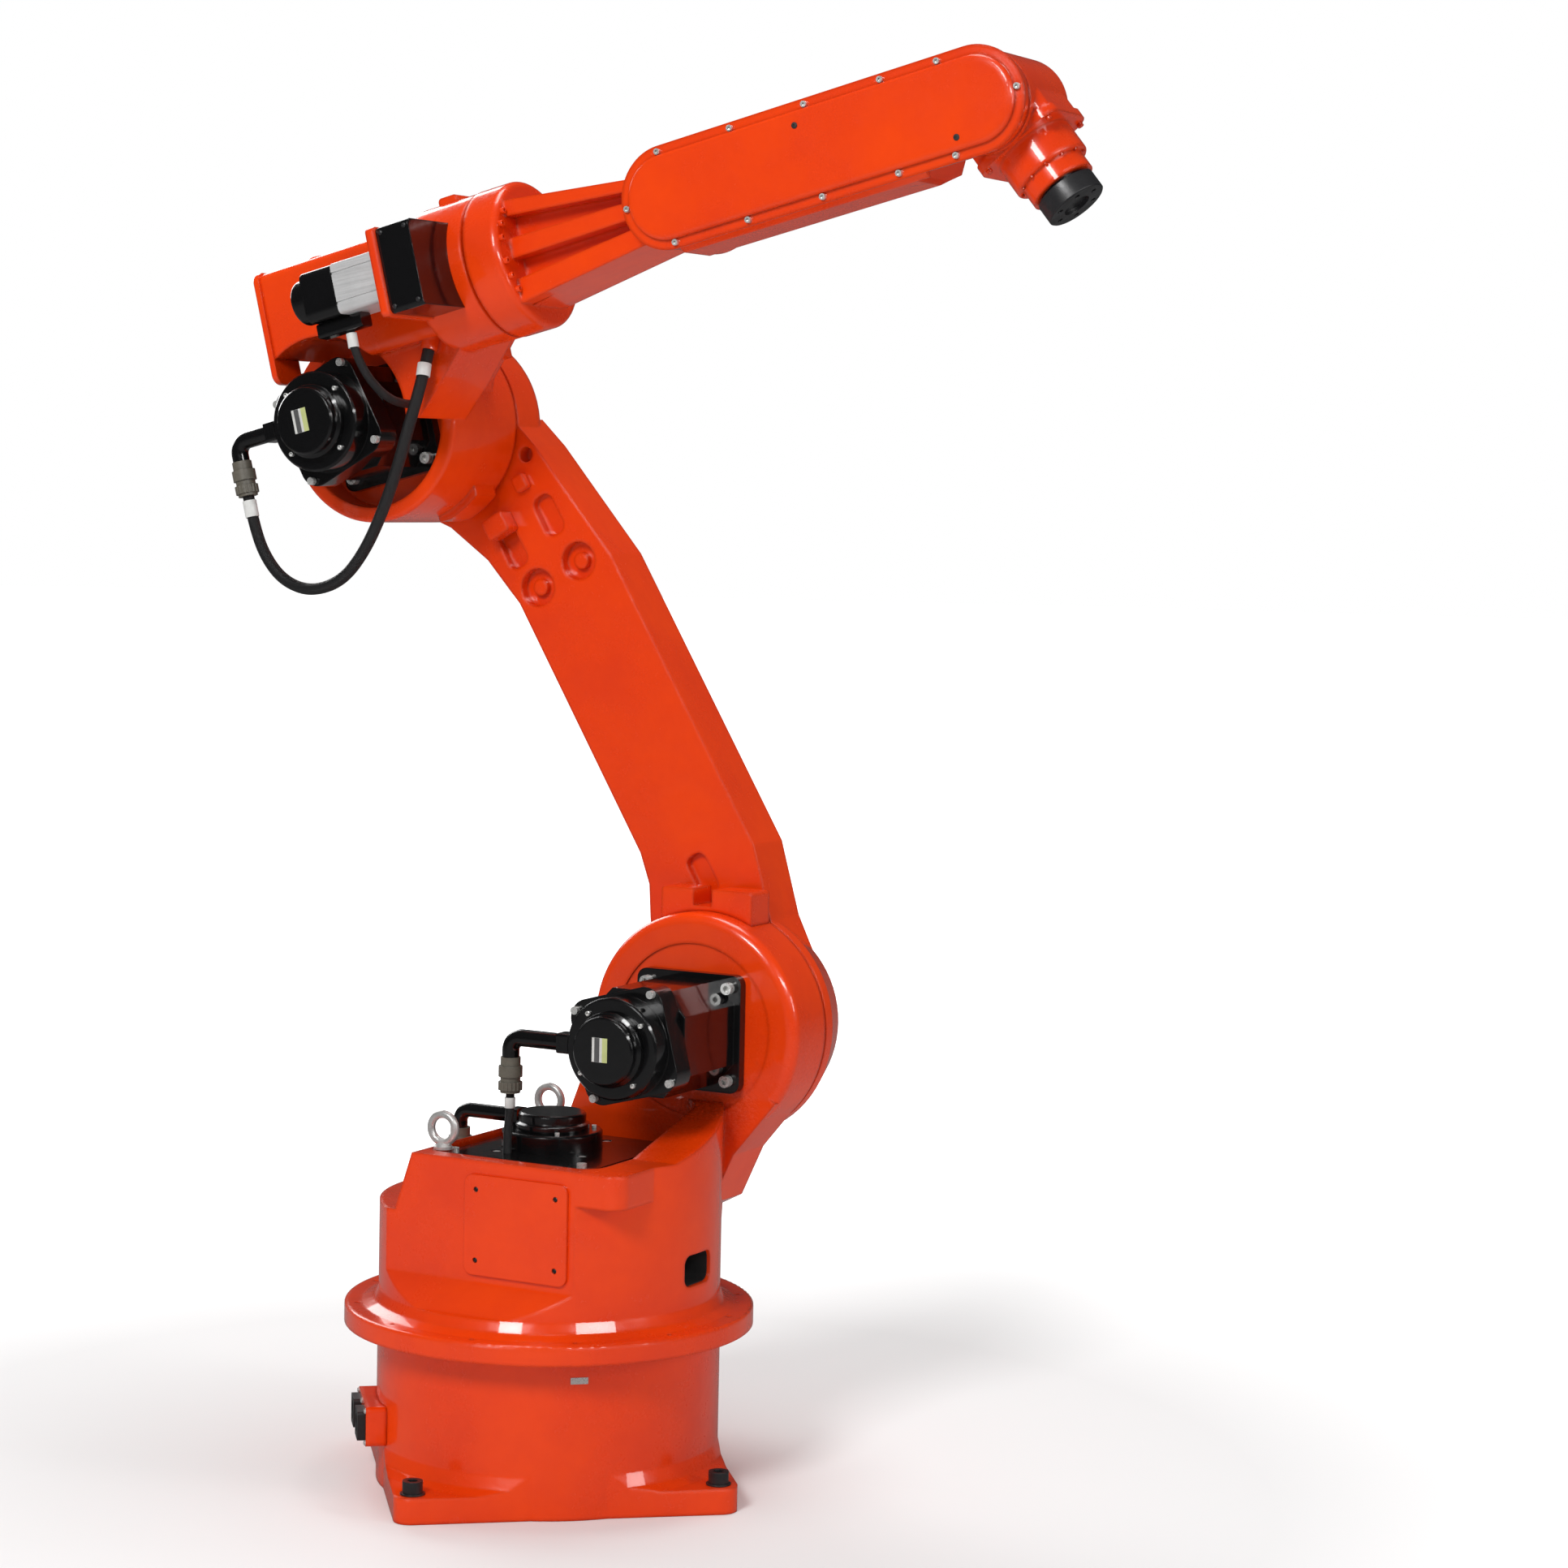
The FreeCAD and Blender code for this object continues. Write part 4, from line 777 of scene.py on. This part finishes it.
class ROBOTARM_OT_forearm_fittings(bpy.types.Operator):
    """Adds the screws of joint 4's ring, the far lid and the tail lid, and the cover's plugs"""
    bl_idname = "robot_arm.forearm_fittings"
    bl_label = "Forearm fittings"

    ring_circle = 100.0                                 # millimetres, as the places below
    ring_angles = (54, 67, 80, 100, 113, 126)           # degrees from the top, on both sides
    lid_screw_rows = 4
    lid_screw_heights = (-48, 48)
    plug_places = ((-22, 40), (215, -44))               # from the cover's middle
    tail_places = [(y, z) for y in (-54, 54) for z in (92, 162, 234)]
    drive_places = [(x, z) for x in (257, 299) for z in (106, 216)]
    # head radius and height of each screw and plug, in metres
    lid_screw, cover_plug = (0.0045, 0.003), (0.0045, 0.002)
    tail_screw, drive_screw = (0.005, 0.0035), (0.0036, 0.0022)
    ring_screw_high = 0.006

    def execute(self, context):
        radius = context.scene.robot_arm_sizes.ring_screw
        angles = [math.radians(side * angle) for side in (-1, 1) for angle in self.ring_angles]
        ring = [facing(FOREARM, (RING_FACE, self.ring_circle * math.sin(a), self.ring_circle * math.cos(a)),
                       (1, 0, 0)) for a in angles]
        spread(cap_screw(radius, self.ring_screw_high), ring, "ring_screws", "forearm", "small enamel")
        start, end = FAR_LID
        along = [start + (end - start) * k / (self.lid_screw_rows - 1) for k in range(self.lid_screw_rows)]
        lid = [facing(FOREARM, (x, FAR_LID_FACE, z), (0, 1, 0))
               for x in along for z in self.lid_screw_heights]
        spread(button_screw(*self.lid_screw), lid, "far_lid_screws", "forearm", "zinc")
        plugs = [facing(FOREARM, (COVER_MIDDLE + x, COVER_FACE, z), (0, -1, 0)) for x, z in self.plug_places]
        spread(button_screw(*self.cover_plug), plugs, "cover_plugs", "forearm", "rubber")
        tail = [facing(UPPER, (TAIL_FACE, y, z), (-1, 0, 0)) for y, z in self.tail_places]
        spread(button_screw(*self.tail_screw), tail, "tail_lid_screws", "upper_arm", "zinc")
        drive = [facing(UPPER, (x, DRIVE_COVER_FACE, z), (0, -1, 0)) for x, z in self.drive_places]
        spread(button_screw(*self.drive_screw), drive, "belt_cover_screws", "upper_arm", "black oxide")
        return {"FINISHED"}


class ROBOTARM_OT_column_fittings(bpy.types.Operator):
    """Adds the foot's washers, the number plate, the box and cover screws and a black tub of painted shade in
    the cable window
    """
    bl_idname = "robot_arm.column_fittings"
    bl_label = "Base and column fittings"

    washer_radius, washer_bore, washer_thick = 0.0185, 0.0105, 0.0025
    plate_size = (0.026, 0.010, 0.0006)
    # head radius and height of each screw, in metres
    side_screw, box_screw = (0.0036, 0.0024), (0.004, 0.003)
    side_screw_sunk = 3.0       # millimetres below the cover's face
    box_places = [(y, z) for y in (-64, 0, 64) for z in (72, 120)]
    liner_wall, liner_floor = 1.2, 4.0      # millimetres

    def execute(self, context):
        washer = new_cylinder(self.washer_radius, self.washer_thick, 36, self.washer_bore)
        bevelled(washer, 0.0005)
        half = BOLT_SQUARE / 2
        corners = [facing(GROUND, (x, y, FOOT_TOP), (0, 0, 1)) for x in (-half, half) for y in (-half, half)]
        spread(washer, corners, "foot_washers", "base", "black oxide")
        screws = [facing(COLUMN, (x, SIDE_COVER_FACE + self.side_screw_sunk, z), (0, -1, 0))
                  for x, z in SIDE_COVER_HOLES]
        spread(button_screw(*self.side_screw), screws, "side_cover_screws", "column", "black oxide")
        plate = new_plate(*self.plate_size, 3)
        bevelled(plate, 0.0002, 1)
        out = Vector((math.cos(PLATE_AROUND), math.sin(PLATE_AROUND), 0))
        place = facing(GROUND, out * (BASE_RADIUS + 0.1) + Z * PLATE_HIGH, out)
        spread(plate, [place], "number_plate", "base", "zinc")
        box = [facing(GROUND, (BOX_FACE, y, z), (-1, 0, 0)) for y, z in self.box_places]
        spread(button_screw(*self.box_screw), box, "connector_box_screws", "base", "zinc")
        # the black tub stands in for the shade inside the cable window: painted shade
        spread(self.liner(), [facing(COLUMN, WINDOW_INSIDE, (1, 0, 0))], "window_shade_tub", "column", "rubber")
        return {"FINISHED"}

    def liner(self):
        """A black tub in the rubber finish, set in the cable window in the drum's front: painted shade inside
        the opening.
        """
        deselect()
        bpy.ops.mesh.primitive_cube_add(size=1.0, location=(0, 0, WINDOW_DEEP * MM / 2))
        tub = bpy.context.object
        tub.scale = (WINDOW[0] * MM, WINDOW[1] * MM, WINDOW_DEEP * MM)
        bpy.ops.object.transform_apply(location=True, rotation=True, scale=True)
        bpy.context.tool_settings.mesh_select_mode = (False, True, False)
        for part in (tub.data.vertices, tub.data.polygons):
            part.foreach_set("select", [False] * len(part))
        for edge in tub.data.edges:
            first, second = (tub.data.vertices[index].co for index in edge.vertices)
            edge.select = abs(first.z - second.z) > abs(first.x - second.x) + abs(first.y - second.y)
        bpy.ops.object.mode_set(mode="EDIT")
        bpy.ops.mesh.bevel(offset=WINDOW_CORNER * MM, segments=6)
        bpy.ops.object.mode_set(mode="OBJECT")
        edit_faces(tub, on_top, inset(self.liner_wall * MM),
                   pulled(-(WINDOW_DEEP - self.liner_floor) * MM))
        recalculate(tub)
        return tub


class ROBOTARM_OT_arm_fittings(bpy.types.Operator):
    """Adds the bolted caps over both reducers on the lower arm's far side"""
    bl_idname = "robot_arm.arm_fittings"
    bl_label = "Lower arm fittings"

    cap_high, cap_sunk = 16.0, 6.0      # millimetres
    screw_circle = 99.0

    def execute(self, context):
        sizes = context.scene.robot_arm_sizes
        for name, height in (("shoulder", 0.0), ("elbow", ARM_LENGTH)):
            cap = new_cylinder(sizes.hub_cap, self.cap_high * MM, 72)
            edit_faces(cap, on_top, inset(sizes.hub_cap * 0.34), pulled(0.004))
            bevelled(cap, 0.0022, 3)
            foot = ARM_FAR_FACE - self.cap_sunk
            spread(cap, [facing(LOWER, (0, foot, height), (0, 1, 0))], f"{name}_far_cap", "lower_arm",
                   "enamel")
            ring = [facing(LOWER, (x, foot + self.cap_high, height + z), (0, 1, 0))
                    for x, z in on_circle(self.screw_circle, 12, 15)]
            spread(cap_screw(sizes.hub_screw, 0.008), ring, f"{name}_far_screws", "lower_arm", "zinc")
        return {"FINISHED"}


class ROBOTARM_OT_stage(bpy.types.Operator):
    """Makes the pale floor, the soft studio lights and the camera"""
    bl_idname = "robot_arm.stage"
    bl_label = "Stage"

    target = Vector((0.2976, -0.2410, 1.0748))
    azimuth, elevation, roll = math.radians(-11.05), math.radians(4.8), math.radians(1.24)
    distance, lens = 5.2739, 83.6
    room_light = 0.42       # strength of the white room as light on the arm; the camera sees it at 1
    room_shine = 0.05       # its strength in reflections
    floor_shine = 0.22      # how light the floor is in reflections
    floor_radius, floor_level = 40.0, -0.0005
    floor_clear = (1.1, 3.6)        # radii between which the floor turns into the white room
    # each soft light's name, place, size and power
    soft_lights = (
        ("key", (-3.0, -4.4, 4.6), 1.6, 225.0), ("fill", (4.6, -3.4, 2.4), 1.2, 46.0),
        ("top", (0.4, 0.6, 5.6), 2.0, 90.0), ("rear", (-1.5, 4.6, 3.2), 2.5, 80.0),
    )
    # a panel that only shows as a highlight, with its radiance
    gleam_place, gleam_size, gleam_radiance = (1.9, -4.0, 3.3), (2.2, 0.6), 22.0

    def execute(self, context):
        self.floor()
        self.lights()
        self.camera()
        return {"FINISHED"}

    def floor(self):
        colours = bpy.context.scene.robot_arm_colours
        deselect()
        bpy.ops.mesh.primitive_circle_add(vertices=96, radius=self.floor_radius, fill_type="NGON",
                                          location=(0, 0, self.floor_level))
        floor = bpy.context.object
        bpy.ops.object.transform_apply(location=True, rotation=True, scale=True)
        floor.name = "floor"
        paper = Finish("pale studio floor")
        pale = tuple(colours.floor)
        marks = paper.group("Handling Marks", Patch_Scale=0.6, Speck_Scale=30.0, Speck_Share=0.1)
        path = paper.tree.nodes.new("ShaderNodeLightPath").outputs
        tone = paper.mixed(marks["Patches"], 0.3, 0.7, pale, darker(pale, 0.985))
        paper.colour(paper.mixed(path["Is Glossy Ray"], 0.0, 1.0, tone, grey(self.floor_shine)))
        paper.set(Roughness=0.9, Specular_IOR_Level=0.1, Emission_Color=(1.0, 1.0, 1.0, 1.0))
        away = paper.tree.nodes.new("ShaderNodeVectorMath")
        away.operation = "LENGTH"
        paper.tree.links.new(paper.coords, away.inputs[0])
        spread_out = paper.ranged(away.outputs["Value"], *self.floor_clear, 0.0, 1.0)
        paper.tree.links.new(maths(paper.tree, "MULTIPLY", path["Is Camera Ray"], spread_out),
                             paper.shader.inputs["Emission Strength"])
        floor.data.materials.append(paper.material)

    def lights(self):
        world = bpy.context.scene.world or bpy.data.worlds.new("studio")
        bpy.context.scene.world = world
        world.use_nodes = True
        tree = world.node_tree
        background = tree.nodes["Background"]
        background.inputs["Color"].default_value = (1.0, 1.0, 1.0, 1.0)
        path = tree.nodes.new("ShaderNodeLightPath").outputs
        on_arm = maths(tree, "MULTIPLY_ADD", path["Is Glossy Ray"], self.room_shine - self.room_light,
                       self.room_light)
        glow = maths(tree, "MAXIMUM", on_arm, path["Is Camera Ray"])
        tree.links.new(glow, background.inputs["Strength"])
        bpy.context.scene.view_settings.view_transform = "Standard"
        for name, place, size, power in self.soft_lights:
            self.area(name, place, (size, size), power)
        width, height = self.gleam_size
        power = self.gleam_radiance * math.pi * width * height
        gleam = self.area("high gleam", self.gleam_place, self.gleam_size, power)
        gleam.visible_diffuse = False

    def area(self, name, place, size, power):
        """A soft light aimed at the arm's middle; size is its width and height."""
        light = bpy.data.lights.new(name, "AREA")
        light.size = size[0]
        if size[0] != size[1]:
            light.shape = "RECTANGLE"
            light.size_y = size[1]
        light.energy = power
        lamp = bpy.data.objects.new(name, light)
        bpy.context.collection.objects.link(lamp)
        lamp.location = place
        aim = self.target - lamp.location
        lamp.rotation_euler = aim.to_track_quat("-Z", "Y").to_euler()
        lamp.visible_camera = False
        return lamp

    def camera(self):
        level = math.cos(self.elevation) * self.distance
        eye = self.target + Vector((math.sin(self.azimuth) * level, -math.cos(self.azimuth) * level,
                                    math.sin(self.elevation) * self.distance))
        ahead = (self.target - eye).normalized()
        right = ahead.cross(Z).normalized()
        up = right.cross(ahead)
        turned_right = right * math.cos(self.roll) + up * math.sin(self.roll)
        turned_up = up * math.cos(self.roll) - right * math.sin(self.roll)
        data = bpy.data.cameras.new("studio camera")
        data.lens = self.lens
        data.sensor_width = 36.0
        camera = bpy.data.objects.new("studio camera", data)
        bpy.context.collection.objects.link(camera)
        turn = Matrix((turned_right, turned_up, -ahead)).transposed().to_4x4()
        camera.matrix_world = Matrix.Translation(eye) @ turn
        bpy.context.scene.camera = camera


OPERATORS = (ROBOTARM_OT_finishes, ROBOTARM_OT_leads, ROBOTARM_OT_sleeves, ROBOTARM_OT_motor_fittings,
             ROBOTARM_OT_forearm_fittings, ROBOTARM_OT_column_fittings, ROBOTARM_OT_arm_fittings,
             ROBOTARM_OT_stage)


class ROBOTARM_PT_panel(bpy.types.Panel):
    """Shows the arm's sizes, its colours and the buttons that build its pieces"""
    bl_idname = "ROBOTARM_PT_panel"
    bl_label = "Robot Arm"
    bl_space_type = "VIEW_3D"
    bl_region_type = "UI"
    bl_category = "Robot Arm"

    def draw(self, context):
        for group in (context.scene.robot_arm_sizes, context.scene.robot_arm_colours):
            box = self.layout.box()
            for name in group.__annotations__:
                box.prop(group, name)
        for operator in OPERATORS:
            self.layout.operator(operator.bl_idname)


CLASSES = (RobotArmSizes, RobotArmColours, *OPERATORS, ROBOTARM_PT_panel)


def register():
    for cls in CLASSES:
        bpy.utils.register_class(cls)
    bpy.types.Scene.robot_arm_sizes = bpy.props.PointerProperty(type=RobotArmSizes)
    bpy.types.Scene.robot_arm_colours = bpy.props.PointerProperty(type=RobotArmColours)


def unregister():
    del bpy.types.Scene.robot_arm_colours
    del bpy.types.Scene.robot_arm_sizes
    for cls in reversed(CLASSES):
        bpy.utils.unregister_class(cls)


def main():
    register()
    for operator in OPERATORS:
        group, name = operator.bl_idname.split(".")
        getattr(getattr(bpy.ops, group), name)()


if __name__ == "__main__":
    main()
